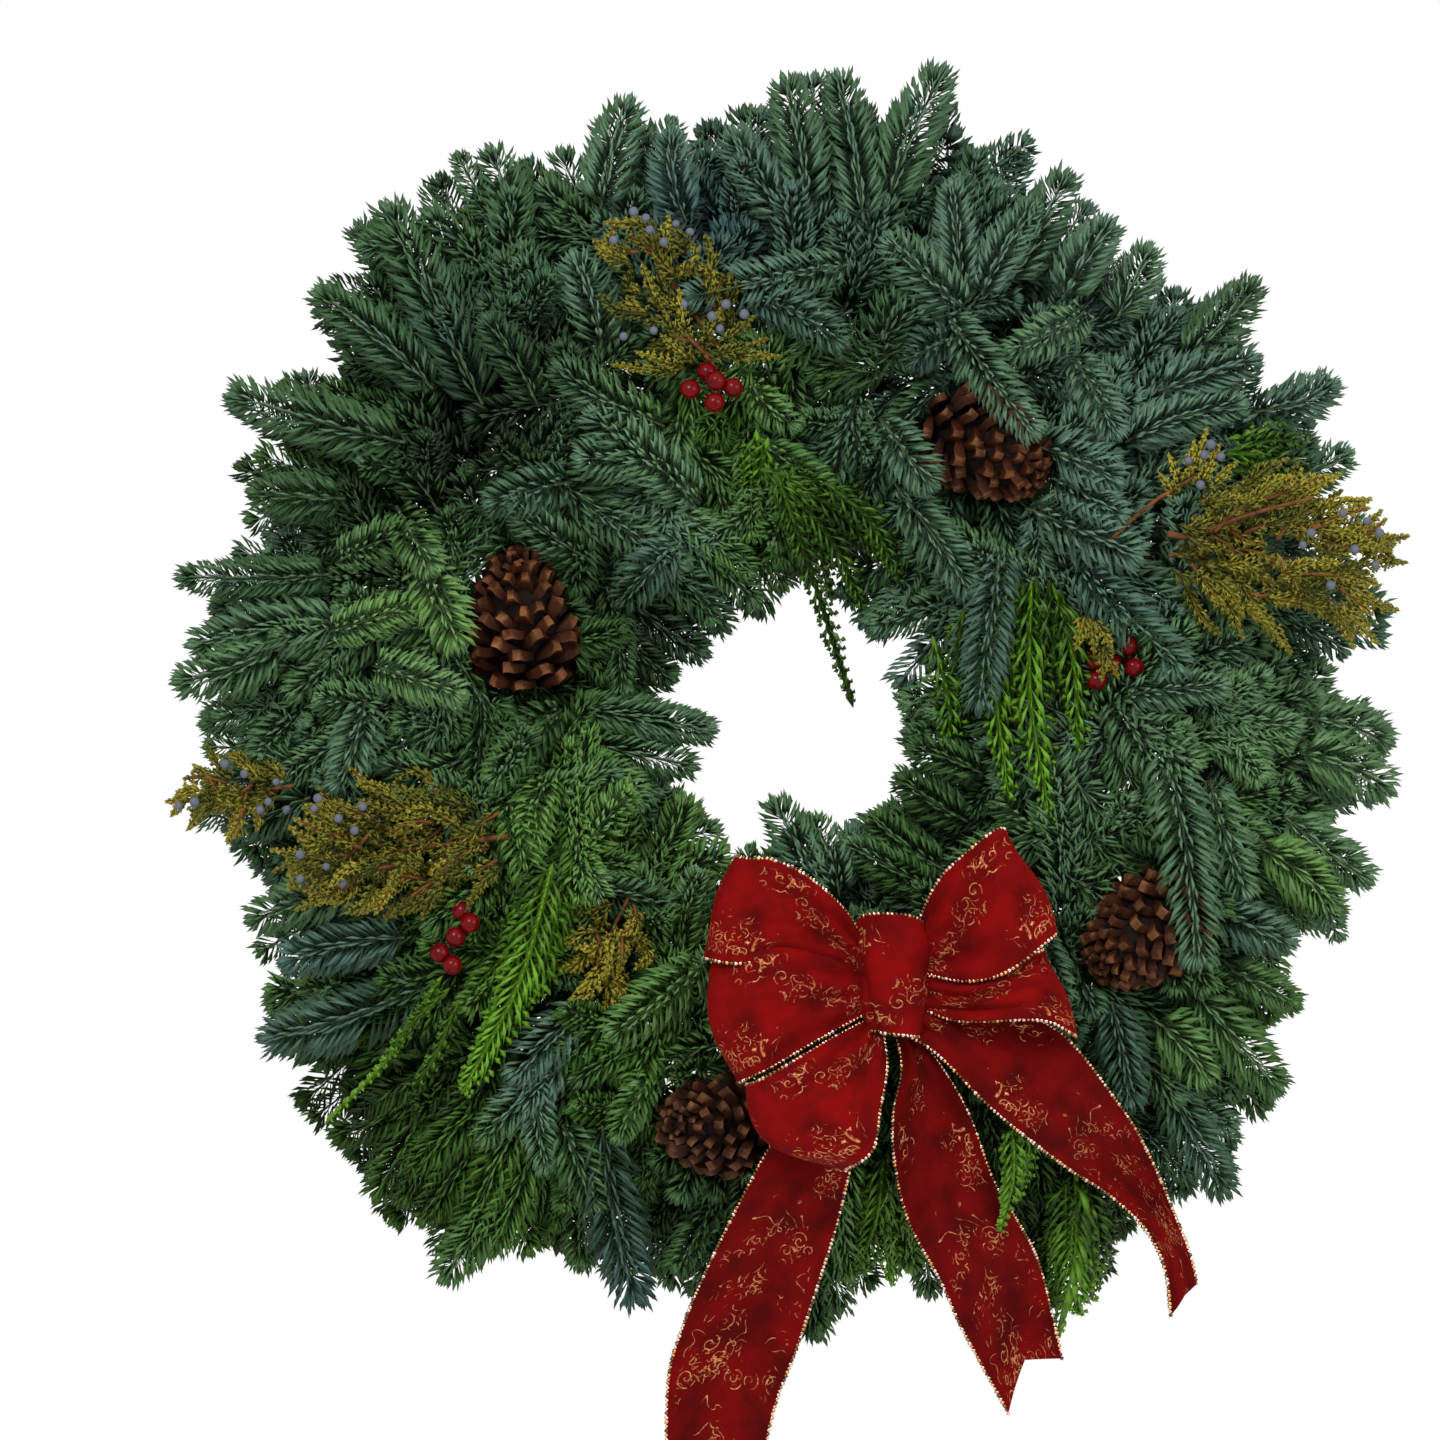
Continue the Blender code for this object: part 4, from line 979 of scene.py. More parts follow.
def fir_bunch(fir, index, looks):
    """One bound bunch: branches fanning outwards, forwards and into the hole."""
    rng = np.random.RandomState(100 + index)
    heap = Heap()
    middle = 90 + STEP * index
    for outwards, layers in ((True, OUTWARD), (False, INWARD)):
        for count, *row in layers:
            for k in range(count):
                share = (k + 0.5) / count - 0.5 + rng.uniform(-0.3, 0.3) / count
                layer_shoot(fir, heap, rng, outwards, math.radians(middle + share * STEP * 0.95),
                            share, row)
    fill_between(fir, heap, rng, middle)
    bound_stems(fir, heap, rng, middle)
    for row in SHOOTS:
        x0, z0, x1, z1 = metres(row[:4])
        degrees = math.degrees(math.atan2(z0, x0))
        if abs((degrees - middle + 180) % 360 - 180) <= STEP / 2:
            top_shoot(fir, heap, rng, x0, z0, x1, z1, *row[4:])
    o = heap.object(f"fir_sprigs_{index + 1:02d}", looks)
    return finish_piece(o, "fir", f"fir_bunch_{index + 1:02d}")


def covering_nodes():
    """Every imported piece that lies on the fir."""
    starts = ("pine_cone", "cedar", "juniper", "berry_pick", "bow_")
    return [o for name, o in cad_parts.items() if name.startswith(starts)]


class WREATH_OT_fir(bpy.types.Operator):
    """Fill each bound bunch with fir sprigs"""
    bl_idname = "wreath.fir"
    bl_label = "Fir bunches"

    def execute(self, context):
        sizes, tones = context.scene.wreath_sizes, context.scene.wreath_colours
        looks = [leaf_look("fir_needles", tones.fir_deep, tones.fir_bloom, tones.fir_fresh,
                           tones.fir_blue),
                 bark_look("fir_twigs", tones.twig), bark_look("fir_stems", tones.stem)]
        ribbons = [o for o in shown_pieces() if o.name.startswith("ribbon")]
        fir = Fir(sizes, Cover(covering_nodes() + ribbons))
        for index in range(BUNCHES):
            fir_bunch(fir, index, looks)
        return {"FINISHED"}


# ---------------------------------------------------------------- cedar

# Each strand, with its lengths in millimetres: x and z of its start and end, sideways bow, length
# of side leaves, how light, and where it needs them the depths of its start and end.
CEDAR = {
    "cedar_top_fan": (
        (-14, 118, 48, 90, 6, 11, 0.3), (-12, 116, 50, 72, 6, 12, 0.1), (-8, 116, 40, 47, 6, 12, 0.2),
        (-6, 116, 32, 4, 1, 9, 0.1), (-4, 118, 22, 56, 4, 12, 0.2), (-2, 118, 10, 64, 3, 12, 0.1),
        (2, 120, -6, 82, 4, 12, 0.2), (18, 112, 56, 64, 6, 11, 0.2), (-16, 138, -22, 104, 3, 12, 1.0),
        (-10, 134, -10, 106, -3, 10, 0.8),
    ),
    "cedar_right_spray": (
        (72, 36, 82, -24, 3, 13, 0.9), (88, 50, 92, -4, -4, 12, 0.3), (116, 66, 110, -42, -8, 15, 0.9),
        (124, 66, 118, 0, 3, 14, 0.2), (122, 64, 131, -54, -5, 16, 1.0), (130, 64, 130, 6, 3, 14, 0.1),
        (132, 62, 145, -20, 4, 14, 0.8), (118, 62, 102, -14, 4, 14, 0.6), (116, 58, 108, 10, 3, 13, 0.1),
        (136, 60, 140, 18, 3, 13, 0.2),
    ),
    "cedar_left_frond": (
        (-117, -78, -161, -190, 6, 16, 1.0, 117, 96), (-112, -80, -134, -154, 4, 13, 0.7),
        (-122, -84, -166, -150, 6, 12, 0.5), (-108, -78, -120, -122, 3, 12, 0.3),
        (-132, -112, -150, -172, 3, 12, 0.6),
    ),
    "cedar_left_trail": (
        (-172, -134, -230, -208, 4, 4.2, 0.9, 113, 60), (-168, -140, -206, -184, -3, 5, 0.5, 112, 82),
        (-164, -146, -190, -196, 2, 6, 0.3, 108, 78),
    ),
    "cedar_under_bow": (
        (48, -226, 36, -284, 3, 13, 0.4), (50, -222, 52, -290, -3, 14, 0.8),
        (54, -226, 66, -274, 3, 12, 0.5),
    ),
    "cedar_low_right": (
        (144, -232, 138, -314, 4, 16, 0.6), (150, -236, 156, -298, 4, 15, 0.2),
        (142, -236, 128, -288, 3, 14, 0.3), (148, -240, 154, -284, 4, 13, 0.5),
        (146, -242, 147, -306, -3, 16, 0.7), (140, -240, 134, -302, 3, 14, 0.5),
        (112, -206, 107, -262, 3, 10, 0.9, 110, 84), (116, -200, 118, -240, 3, 9, 0.6, 108, 82),
    ),
    "cedar_right_tips": (
        (222, 128, 262, 134, 2, 10, 0.3), (224, 122, 266, 118, 3, 11, 0.2),
        (220, 134, 250, 142, -3, 10, 0.5), (218, 126, 240, 122, 2, 10, 0.4),
        (222, 118, 256, 106, 4, 10, 0.2),
    ),
}


class Leaves:
    """Templates shared by cedar and juniper."""

    def __init__(self):
        self.leaf = needle_template(0.5, 0.5)
        self.tube = tube_template(4)
        self.ball = ball_template(8, 6)


# Scale leaves: width of a leaf, the lobes of a side leaf as places along it and hands, length of
# a lobe against its side leaf, how unevenly side leaves roll, and how blunt a strand ends.
CEDAR_LEAF = {"wide": 0.0040, "lobes": ((0.42, -1), (0.64, 1)), "lobe_length": 0.42, "roll": 0.05,
              "blunt": 3.0}
JUNIPER_LEAF = {"wide": 0.0025, "lobes": ((0.35, 1), (0.55, -1)), "lobe_length": 0.52, "roll": 0.6,
                "blunt": 2.4}


def fishbone(heap, leaves, path, side_length, pitch, opening, rng, bloom, wide, lobes, lobe_length,
             roll, blunt):
    """A strand with side leaves on both hands that carry smaller lobes of their own."""
    steps = max(5, int(np.linalg.norm(np.diff(path, axis=0), axis=1).sum() / pitch))
    line = through(path, steps + 1)
    lead = unit(np.gradient(line, axis=0))
    front = np.array([0, -1.0, 0]) + rng.normal(0, 0.25, 3)
    face = unit(front - (front * lead).sum(1, keepdims=True) * lead)
    side = np.cross(lead, face)
    t = np.linspace(0, 1, steps + 1)
    grow(heap, leaves.leaf, line[:-1], lead[:-1], face[:-1], pitch * 2.0, wide * 1.1, 0.0,
         np.column_stack([np.full(steps, bloom), np.zeros(steps)]))
    for hand in (-1, 1):
        root, forward, across, up = (v[1:] for v in (line, lead, side, face))
        root = root - forward * pitch * 0.25 * (1 + hand)
        at = t[1:]
        size = side_length * (1.0 - 0.66 * at ** blunt) * rng.uniform(0.78, 1.15, len(at))
        angle = np.radians(opening - 0.35 * opening * at + rng.normal(0, 4, len(at)))
        lift = rng.normal(0.1, roll, len(at))
        out = unit(across * hand + up * lift[:, None])
        way = unit(np.cos(angle)[:, None] * forward + np.sin(angle)[:, None] * out)
        # Side leaves near the foot of a strand are darker: painted shade where the strand tucks in.
        shade = bloom * np.interp(at, (0, 0.7), (0.25, 1.0)) + rng.normal(0, 0.14, len(at))
        looks = np.column_stack([np.clip(shade, 0, 1), np.zeros(len(at))])
        grow(heap, leaves.leaf, root, way, forward, size, wide, 0.20, looks)
        flat_side = unit(np.cross(up, way))
        for share, lobe_hand in lobes:
            start = (root + way * (size * share)[:, None]
                     + forward * (size * 0.2 * share ** 2)[:, None])
            lobe = unit(way + lobe_hand * (0.80 * flat_side + roll * 0.5 * up) + 0.2 * forward)
            grow(heap, leaves.leaf, start, lobe, up,
                 size * lobe_length * (1.15 - 0.6 * share), wide * 0.85, 0.0, looks)


# Spacing of the side leaves along a strand, and how far they stand off in degrees.
CEDAR_USUAL = (0.0068, 43)
CEDAR_WEAVE = {"cedar_left_frond": (0.0056, 50), "cedar_right_spray": (0.0086, 40),
               "cedar_low_right": (0.0056, 50)}

# How much longer than the row says side leaves grow.
CEDAR_GROWTH = 1.35

# How far forward a strand's end may lie, by its distance from the middle of the ring.
CEDAR_RADII = (0.06, 0.11, 0.24, 0.31)
CEDAR_LIMITS = (0.045, 0.085, 0.09, 0.03)


class WREATH_OT_cedar(bpy.types.Operator):
    """Lay the flat cedar strands on the fir"""
    bl_idname = "wreath.cedar"
    bl_label = "Cedar sprays"

    def execute(self, context):
        tones = context.scene.wreath_colours
        looks = [leaf_look("cedar_leaves", tones.cedar_dark, tones.cedar, painted_root_shade_tip_light=(0.8, 1.1),
                           roughness=0.42)]
        leaves = Leaves()
        for index, (node, strands) in enumerate(CEDAR.items()):
            rng = np.random.RandomState(300 + index)
            heap = Heap()
            fore = depths_of(node)[1]
            middle = middle_of(node)
            pitch, opening = CEDAR_WEAVE.get(node, CEDAR_USUAL)
            for row in strands:
                x0, z0, x1, z1, bow, side_length = metres(row[:6])
                light, *depths = row[6:]
                depth0 = fore - 0.002 - rng.uniform(0, 0.005)
                depth1 = (CENTRE.y - middle.y) + rng.uniform(-0.004, 0.004)
                depth1 = min(depth1, np.interp(np.hypot(x1, z1), CEDAR_RADII, CEDAR_LIMITS))
                if depths:
                    depth0, depth1 = metres(depths)
                a, b = flat(x0, z0, depth0), flat(x1, z1, depth1)
                turned = unit(np.array([-(z1 - z0), 0, x1 - x0])) * bow
                path = np.array([a, (a + b) / 2 + turned + np.array([0, -0.005, 0]), b])
                fishbone(heap, leaves, path, side_length * CEDAR_GROWTH, pitch, opening, rng,
                         light, **CEDAR_LEAF)
            finish_piece(heap.object(node + "_strands", looks), "cedar", node)
        return {"FINISHED"}


# ---------------------------------------------------------------- juniper

# Node, twigs, length of a twig in millimetres, how light it is, and x and z of its berries in
# millimetres.
JUNIPER = (
    ("juniper_top", 30, 24, -0.30, (
        (-77, 246), (-69, 237), (-62, 231), (-49, 236), (-87, 232), (-67, 187), (-38, 194), (-31, 200),
        (-82, 184), (-34, 188), (-22, 195), (-52, 200), (-71, 243), (-56, 240),
    )),
    ("juniper_right", 96, 31, 0.0, (
        (199, 122), (207, 125), (215, 124), (205, 110), (210, 130), (256, 80), (260, 86), (288, 92),
        (294, 86), (282, 78), (276, 96), (292, 70), (270, 60),
    )),
    ("juniper_left", 84, 30, -0.18, (
        (-224, -56), (-236, -51), (-243, -74), (-230, -80), (-243, -86), (-216, -62), (-234, -46),
        (-222, -88), (-212, -50),
    )),
    ("juniper_left_edge", 30, 20, 0.0, (
        (-256, -38), (-260, -48), (-251, -52), (-264, -52), (-282, -29), (-297, -48), (-305, -50),
        (-272, -34),
    )),
    ("juniper_low_tuft", 24, 20, 0.5, ()),
)

# Single twigs and bare stems beside a spray: x and z of both ends, in millimetres.
LOOSE_TWIGS = {
    "juniper_right": (
        (198, 108, 202, 130), (204, 108, 214, 128), (196, 106, 190, 124), (208, 108, 222, 120),
        (200, 112, 208, 136), (194, 104, 186, 114), (148, 46, 143, 30), (150, 46, 152, 28),
        (152, 44, 160, 30), (157, 32, 156, 14), (156, 30, 163, 16),
    ),
    "juniper_top": (
        (-50, 168, -74, 176), (-54, 166, -86, 170), (-46, 170, -62, 184), (-38, 174, -12, 182),
        (-36, 178, -18, 193), (-30, 175, -6, 174), (-44, 178, -32, 199), (-50, 180, -54, 206),
        (-64, 196, -72, 218),
    ),
}
BARE_STEMS = {
    "juniper_right": ((160, 82, 212, 120), (206, 86, 262, 104)),
    "juniper_top": ((-36, 168, -58, 190),),
}

# Length and spacing of the side leaves on a bushed twig and on a loose one, and the degrees that
# they stand off.
TWIG_WEAVE = (0.0078, 0.0038, 50)
LOOSE_WEAVE = (0.0070, 0.0036, 50)


class WREATH_OT_juniper(bpy.types.Operator):
    """Tuck in the bushy juniper with its pale berries"""
    bl_idname = "wreath.juniper"
    bl_label = "Juniper sprays"

    def execute(self, context):
        tones = context.scene.wreath_colours
        looks = [leaf_look("juniper_leaves", tones.juniper_dark, tones.juniper,
                           painted_root_shade_tip_light=(0.55, 1.2), roughness=0.55),
                 bark_look("juniper_stems", tones.juniper_bark),
                 leaf_look("juniper_berries", tones.juniper_berry, tones.juniper_berry,
                           painted_root_shade_tip_light=(0.95, 1.0), roughness=0.6)]
        leaves = Leaves()
        for index, (node, twigs, twig_length, light, berries) in enumerate(JUNIPER):
            self.spray(leaves, looks, np.random.RandomState(500 + index), node, twigs,
                       metres(twig_length), light, berries)
        return {"FINISHED"}

    def spray(self, leaves, looks, rng, node, twigs, twig_length, light, berries):
        """One spray: its bushed twigs, what grows beside it, its stem and its berries."""
        heap = Heap()
        fore = depths_of(node)[1]
        spine = self.bush(heap, leaves, rng, node, fore, twigs, twig_length, light)
        self.beside(heap, leaves, rng, node, fore, light)
        tube_along(heap, leaves.tube, spine, np.linspace(0.055, 0.024, 9) * twig_length, slot=1)
        ball, faces = leaves.ball
        for place in berries:
            spot = flat(*metres(place), fore + rng.uniform(0.001, 0.005))
            size = rng.uniform(0.0020, 0.0026)
            heap.add(spot[None, None] + ball[None] * size, faces, EVEN_LOOK, 2)
        finish_piece(heap.object(node + "_twigs", looks), "juniper", node)

    def bush(self, heap, leaves, rng, node, fore, twigs, twig_length, light):
        """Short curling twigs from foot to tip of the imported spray; gives the line of its stem."""
        points = np.array([v.co[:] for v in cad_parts[node].data.vertices])
        middle = points.mean(0)
        foot_side = unit(np.array([CENTRE.x - middle[0], 0, CENTRE.z - middle[2]]))
        main = np.linalg.svd(points - middle)[2][0]
        main = main * (-1 if (main * foot_side).sum() > 0 else 1)
        reach = (points - middle) @ main
        across = unit(np.cross(main, np.array([0, 1.0, 0])))
        half = np.abs((points - middle) @ across).max()
        for k in range(twigs):
            t = (k + 0.5) / twigs
            at = reach.min() + (reach.max() - reach.min()) * (0.02 + 0.80 * t)
            fill = math.sin(math.pi * (0.20 + 0.66 * t))
            offset = rng.uniform(-0.8, 0.8) * half * fill
            start = middle + main * at + across * offset * 0.8
            start[1] = CENTRE.y - fore + rng.uniform(0.002, 0.016)
            way = unit(main + across * (offset / half * 0.9 + rng.normal(0, 0.45))
                       + np.array([0, rng.normal(-0.15, 0.35), 0]))
            size = twig_length * rng.uniform(0.6, 1.15)
            end = start + way * size
            bend = (start + end) / 2 + across * rng.normal(0, 0.004) + np.array([0, -0.003, 0])
            path = np.array([start, bend, end])
            bloom = np.clip(0.42 + 0.4 * t + light + rng.normal(0, 0.25), 0, 1)
            fishbone(heap, leaves, path, *TWIG_WEAVE, rng, bloom, **JUNIPER_LEAF)
            if k % 4 == 0:
                tube_along(heap, leaves.tube, through(path, 4), np.linspace(0.0011, 0.0007, 4),
                           slot=1)
        return through([middle + main * reach.min(), middle + np.array([0, 0.002, 0]),
                        middle + main * reach.max() * 0.7], 9)

    def beside(self, heap, leaves, rng, node, fore, light):
        """Loose twigs and bare stems beside a spray."""
        for row in LOOSE_TWIGS.get(node, ()):
            x0, z0, x1, z1 = metres(row)
            start, end = flat(x0, z0, fore - 0.006), flat(x1, z1, fore + 0.001)
            path = np.array([start, (start + end) / 2 + np.array([0, -0.004, 0]), end])
            bloom = np.clip(rng.uniform(0.5, 1.0) + light, 0, 1)
            fishbone(heap, leaves, path, *LOOSE_WEAVE, rng, bloom, **JUNIPER_LEAF)
        for row in BARE_STEMS.get(node, ()):
            x0, z0, x1, z1 = metres(row)
            path = [flat(x0, z0, fore - 0.008),
                    flat(x0 * 0.6 + x1 * 0.4, z0 * 0.5 + z1 * 0.5, fore + 0.001),
                    flat(x1, z1, fore - 0.003)]
            tube_along(heap, leaves.tube, through(path, 7), np.linspace(0.0014, 0.0007, 7), slot=1)


# ---------------------------------------------------------------- pine cones

# Name, direction of the tip, length, width, scales, how far they stand open and how unevenly,
# both in degrees, and how light they are.
CONES = (
    ("left", (-0.10, -0.42, 0.90), 0.080, 0.062, 92, 68, 8, 0.25),
    ("upper_right", (0.80, -0.40, -0.42), 0.074, 0.058, 86, 66, 5, 0.15),
    ("right", (-0.70, -0.45, -0.50), 0.072, 0.060, 92, 64, 5, 0.10),
    ("bottom", (-0.62, -0.76, 0.05), 0.070, 0.056, 88, 66, 5, -0.25),
)


# Degrees from one scale of a cone to the next in growing order.
GOLDEN_ANGLE = 137.508


def scale_template():
    """One cone scale: thin and narrow at the root, with a thick blunt end and a small point."""
    clear_selection()
    bpy.ops.mesh.primitive_grid_add(x_subdivisions=4, y_subdivisions=3, size=2)
    o = bpy.context.active_object
    for v in o.data.vertices:
        along, across = (v.co.x + 1) / 2, v.co.y
        broad = 0.16 + 0.34 * min(1.0, along / 0.72) ** 1.3
        rounded = 1 - 0.45 * max(0.0, (along - 0.74) / 0.26) ** 2 * abs(across) ** 0.5
        v.co = (along * (1.0 - 0.10 * across ** 2 * along), across * broad * rounded,
                0.16 * along ** 3 - 0.10 * across ** 2 * along)
    o.data.update()
    m = o.modifiers.new("thickness", "SOLIDIFY")
    m.thickness = 0.17
    m.offset = 1
    apply_all(o)
    for v in o.data.vertices:
        tip = max(0.0, (v.co.x - 0.66) / 0.34)
        near_middle = max(0.0, 1 - abs(v.co.y) / 0.30)
        if v.normal.z < 0.2:
            v.co.z -= 0.11 * tip
        v.co.x += 0.05 * near_middle * tip ** 3
        v.co.z += 0.05 * near_middle * tip ** 3
    return template(o)


def cone_half_width(t):
    """Outline of a cone: share of the half width at t from the foot to the tip."""
    return np.interp(t, (0.0, 0.06, 0.16, 0.30, 0.55, 0.80, 1.0),
                     (0.62, 0.86, 0.99, 1.0, 0.86, 0.58, 0.16))


class WREATH_OT_cones(bpy.types.Operator):
    """Model the four pine cones scale by scale"""
    bl_idname = "wreath.cones"
    bl_label = "Pine cones"

    def execute(self, context):
        look = self.look(context.scene.wreath_colours)
        scale, core = scale_template(), ball_template(12, 8)
        for index, row in enumerate(CONES):
            self.cone(scale, core, look, np.random.RandomState(700 + index), *row)
        steel = steel_look("florist_wire")
        for name, *_ in CONES:
            paint(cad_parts[f"cone_wire_{name}"], steel)
        return {"FINISHED"}

    def cone(self, scale, core, look, rng, name, tip, long, wide, scales, openness, loose, light):
        """A core painted dark as shade, with its scales wound round it from the foot to the tip."""
        node = f"pine_cone_{name}"
        turn = np.array(Vector(tip).normalized().to_track_quat("Z", "Y").to_matrix())
        middle = np.array(middle_of(node))
        heap = Heap()
        points, faces = core
        made = points * np.array([wide * 0.33, wide * 0.33, long * 0.45])
        # The core takes the darkest look: painted shade of the cone's middle.
        heap.add((middle + made @ turn.T)[None], faces, np.array([0.0, 0.05, 0.0]))
        points, faces = scale
        for k in range(scales):
            t = 0.02 + 0.96 * ((k + 0.5) / scales) ** 0.92
            made = self.scale(points, rng, k, t, long, wide, openness, loose)
            looks = np.zeros((1, len(points), 3))
            looks[..., 0] = light + rng.uniform(0, 0.6)
            looks[..., 1] = points[:, 0]
            heap.add((middle + made @ turn.T)[None], faces, looks)
        o = heap.object(node + "_scales", [look])
        o.data.set_sharp_from_angle(angle=math.radians(50))
        finish_piece(o, "cone", node)

    def scale(self, points, rng, k, t, long, wide, openness, loose):
        """Scale k, at t from foot to tip, of a cone that points along Z."""
        turned = math.radians(GOLDEN_ANGLE * k + rng.normal(0, 3))
        usual = np.interp(t, (0, 0.15, 0.6, 1.0),
                          (openness + 22, openness + 6, openness - 14, 24))
        lean = math.radians(usual + rng.normal(0, loose))
        roll = math.radians(rng.normal(0, 2.2 * loose))
        reach = cone_half_width(t) * wide / 2
        out = np.array([math.cos(turned), math.sin(turned), 0])
        axis = np.array([0, 0, 1.0])
        lead = math.cos(lean) * axis + math.sin(lean) * out
        across = np.cross(axis, out)
        face = np.cross(lead, across)
        across, face = (across * math.cos(roll) + face * math.sin(roll),
                        face * math.cos(roll) - across * math.sin(roll))
        size = max(reach / max(math.sin(lean), 0.55), 0.008)
        root = axis * ((t - 0.5) * long * 0.86 - math.cos(lean) * size * 0.5 + 0.001)
        broad = min(0.0150, 0.005 + reach * 0.34) * rng.uniform(0.80, 1.15)
        return (root + points[:, :1] * size * lead + points[:, 1:2] * broad * across
                + points[:, 2:] * size * 0.62 * face)

    def look(self, tones):
        """Scales dark at the root, brown outside and pale at the tip, with painted shade and highlight.
        """
        m, tree, shader = new_material("cone_scales", 0.46, specular=0.16)
        chance, along = look_parts(tree)[:2]
        patches, grain = mottle(tree, 160, 1600)
        stripe = ramp(tree, along, 0.60, 0.96)
        base = mix_colour(tree, stripe, tones.cone_inside_and_shade, tones.cone_brown)
        tip = ramp(tree, sums(tree, "ADD", along, ramp(tree, patches, 0.3, 0.7, -0.07, 0.05)),
                   0.93, 1.05)
        base = mix_colour(tree, tip, base, tones.cone_tip_and_highlight)
        shade = ramp(tree, sums(tree, "ADD", chance, grain), 0.2, 1.4, 0.34, 1.12)
        tree.links.new(mix_colour(tree, 1.0, base, shade, "MULTIPLY"), shader.inputs["Base Color"])
        bump(tree, shader, grain, 0.0008)
        return m


# ---------------------------------------------------------------- berries

# Node and its berries, in millimetres: x, z and how far each lies behind the foremost.
PICKS = (
    ("berry_pick_top", (
        (-40.5, 166.5, 7), (-48.7, 157.7, 1), (-27.5, 158.5, 2), (-36.7, 151, 0), (-36, 161.7, 0),
    )),
    ("berry_pick_left", (
        (-162.7, -102.3, 6), (-158.5, -108.3, 0), (-165.8, -115.1, 1), (-173.7, -123.1, 2),
        (-167.4, -129.1, 0),
    )),
    ("berry_pick_right", (
        (170, 30, 2), (162, 21.2, 0), (173, 19.6, 1), (154, 22.6, 6), (154.5, 13, 4),
    )),
)


# Radii of a berry's own stalk and of the stem of its pick.
STALK_WIRE = 0.0006
PICK_WIRE = 0.0009


class WREATH_OT_berries(bpy.types.Operator):
    """Make the three picks of lacquered red berries on wire stems"""
    bl_idname = "wreath.berries"
    bl_label = "Berry picks"

    def execute(self, context):
        tones, radius = context.scene.wreath_colours, context.scene.wreath_sizes.berry
        looks = [self.lacquer(tones.berry_red), painted_wire_look("pick_wire", tones.green_wire)]
        ball, faces = ball_template(20, 14)
        tube = tube_template(6)
        for index, (node, spots) in enumerate(PICKS):
            rng = np.random.RandomState(900 + index)
            heap = Heap()
            fore = depths_of(node)[1]
            spots = metres(spots)
            knot = flat(*np.mean(spots, axis=0)[:2], fore - 0.018)
            for x, z, back in spots:
                spot = flat(x, z, fore - radius - back)
                turn = np.array(Vector(rng.normal(0, 1, 3)).to_track_quat("Z", "Y").to_matrix())
                squat = ball * np.array([1, 1, 0.96])
                dimple = np.exp(-((1 - ball[:, 2:]) / 0.05) ** 2) * 0.10
                squat = squat * (1 - dimple)
                look = np.zeros((1, len(ball), 3))
                look[..., 1] = np.clip((ball[:, 2] - 0.96) / 0.03, 0, 1)
                heap.add((spot + radius * squat @ turn.T)[None], faces, look)
                stalk = through([knot, (knot + spot) / 2 + np.array([0, 0.002, 0]), spot], 5)
                tube_along(heap, tube, stalk, STALK_WIRE, slot=1)
            angle = math.degrees(math.atan2(*np.mean(spots, axis=0)[1::-1]))
            stem = through([polar(RING_R, angle, 0.014), knot], 6)
            tube_along(heap, tube, stem, PICK_WIRE, slot=1)
            finish_piece(heap.object(node + "_berries", looks), "berry", node)
        return {"FINISHED"}

    def lacquer(self, tone):
        """Mottled red lacquer with a dark dot at the berry's end."""
        m, tree, shader = new_material("berry_lacquer", 0.26, specular=0.10)
        end = look_parts(tree)[1]
        patches = mottle(tree, 140, 1400)[0]
        base = mix_colour(tree, ramp(tree, patches, 0.3, 0.7), dimmed(tone, 0.6), tone)
        base = mix_colour(tree, end, base, (0.02, 0.008, 0.006))
        tree.links.new(base, shader.inputs["Base Color"])
        shader.inputs["Coat Weight"].default_value = 0.16
        shader.inputs["Coat Roughness"].default_value = 0.05
        bump(tree, shader, patches, 0.0006, 0.5)
        return m


# ---------------------------------------------------------------- bow

# Lengths are in millimetres. Edges are x and z from the middle of the knot, outwards. Each loop
# has its upper edge, its lower edge, how far it stands forward at its fullest, how far its
# rounded end reaches past the straight line between the edges, and the rise of its end.
BOW_LOOPS = {
    "upper_left": (
        ((-13, 16), (-24, 34), (-42, 50), (-60, 59), (-77, 60)),
        ((-15, 3), (-38, 8), (-58, 10), (-78, 8), (-94, 10)),
        19, 4, 10,
    ),
    "middle_left": (
        ((-16, 6), (-38, 14), (-56, 17), (-74, 14), (-89, 8)),
        ((-14, -18), (-40, -32), (-60, -43), (-70, -48), (-77, -52)),
        21, 8, 6,
    ),
    "bottom": (
        ((-13, -21), (-30, -29), (-44, -37), (-58, -45), (-72, -52)),
        ((-5, -26), (-3, -44), (-7, -66), (-11, -84), (-24, -95)),
        21, 16, 14,
    ),
    "upper_right": (
        ((10, 22), (22, 48), (36, 63), (51, 74), (56, 70)),
        ((17, 2), (33, -1), (49, 1), (64, 9), (80, 23)),
        20, 4, 10,
    ),
    "lower_right": (
        ((16, 1), (33, 0), (48, 3), (62, 9), (75, 15)),
        ((15, -16), (33, -21), (63, -20), (79, -22), (90, -29)),
        18, 2, 4,
    ),
}

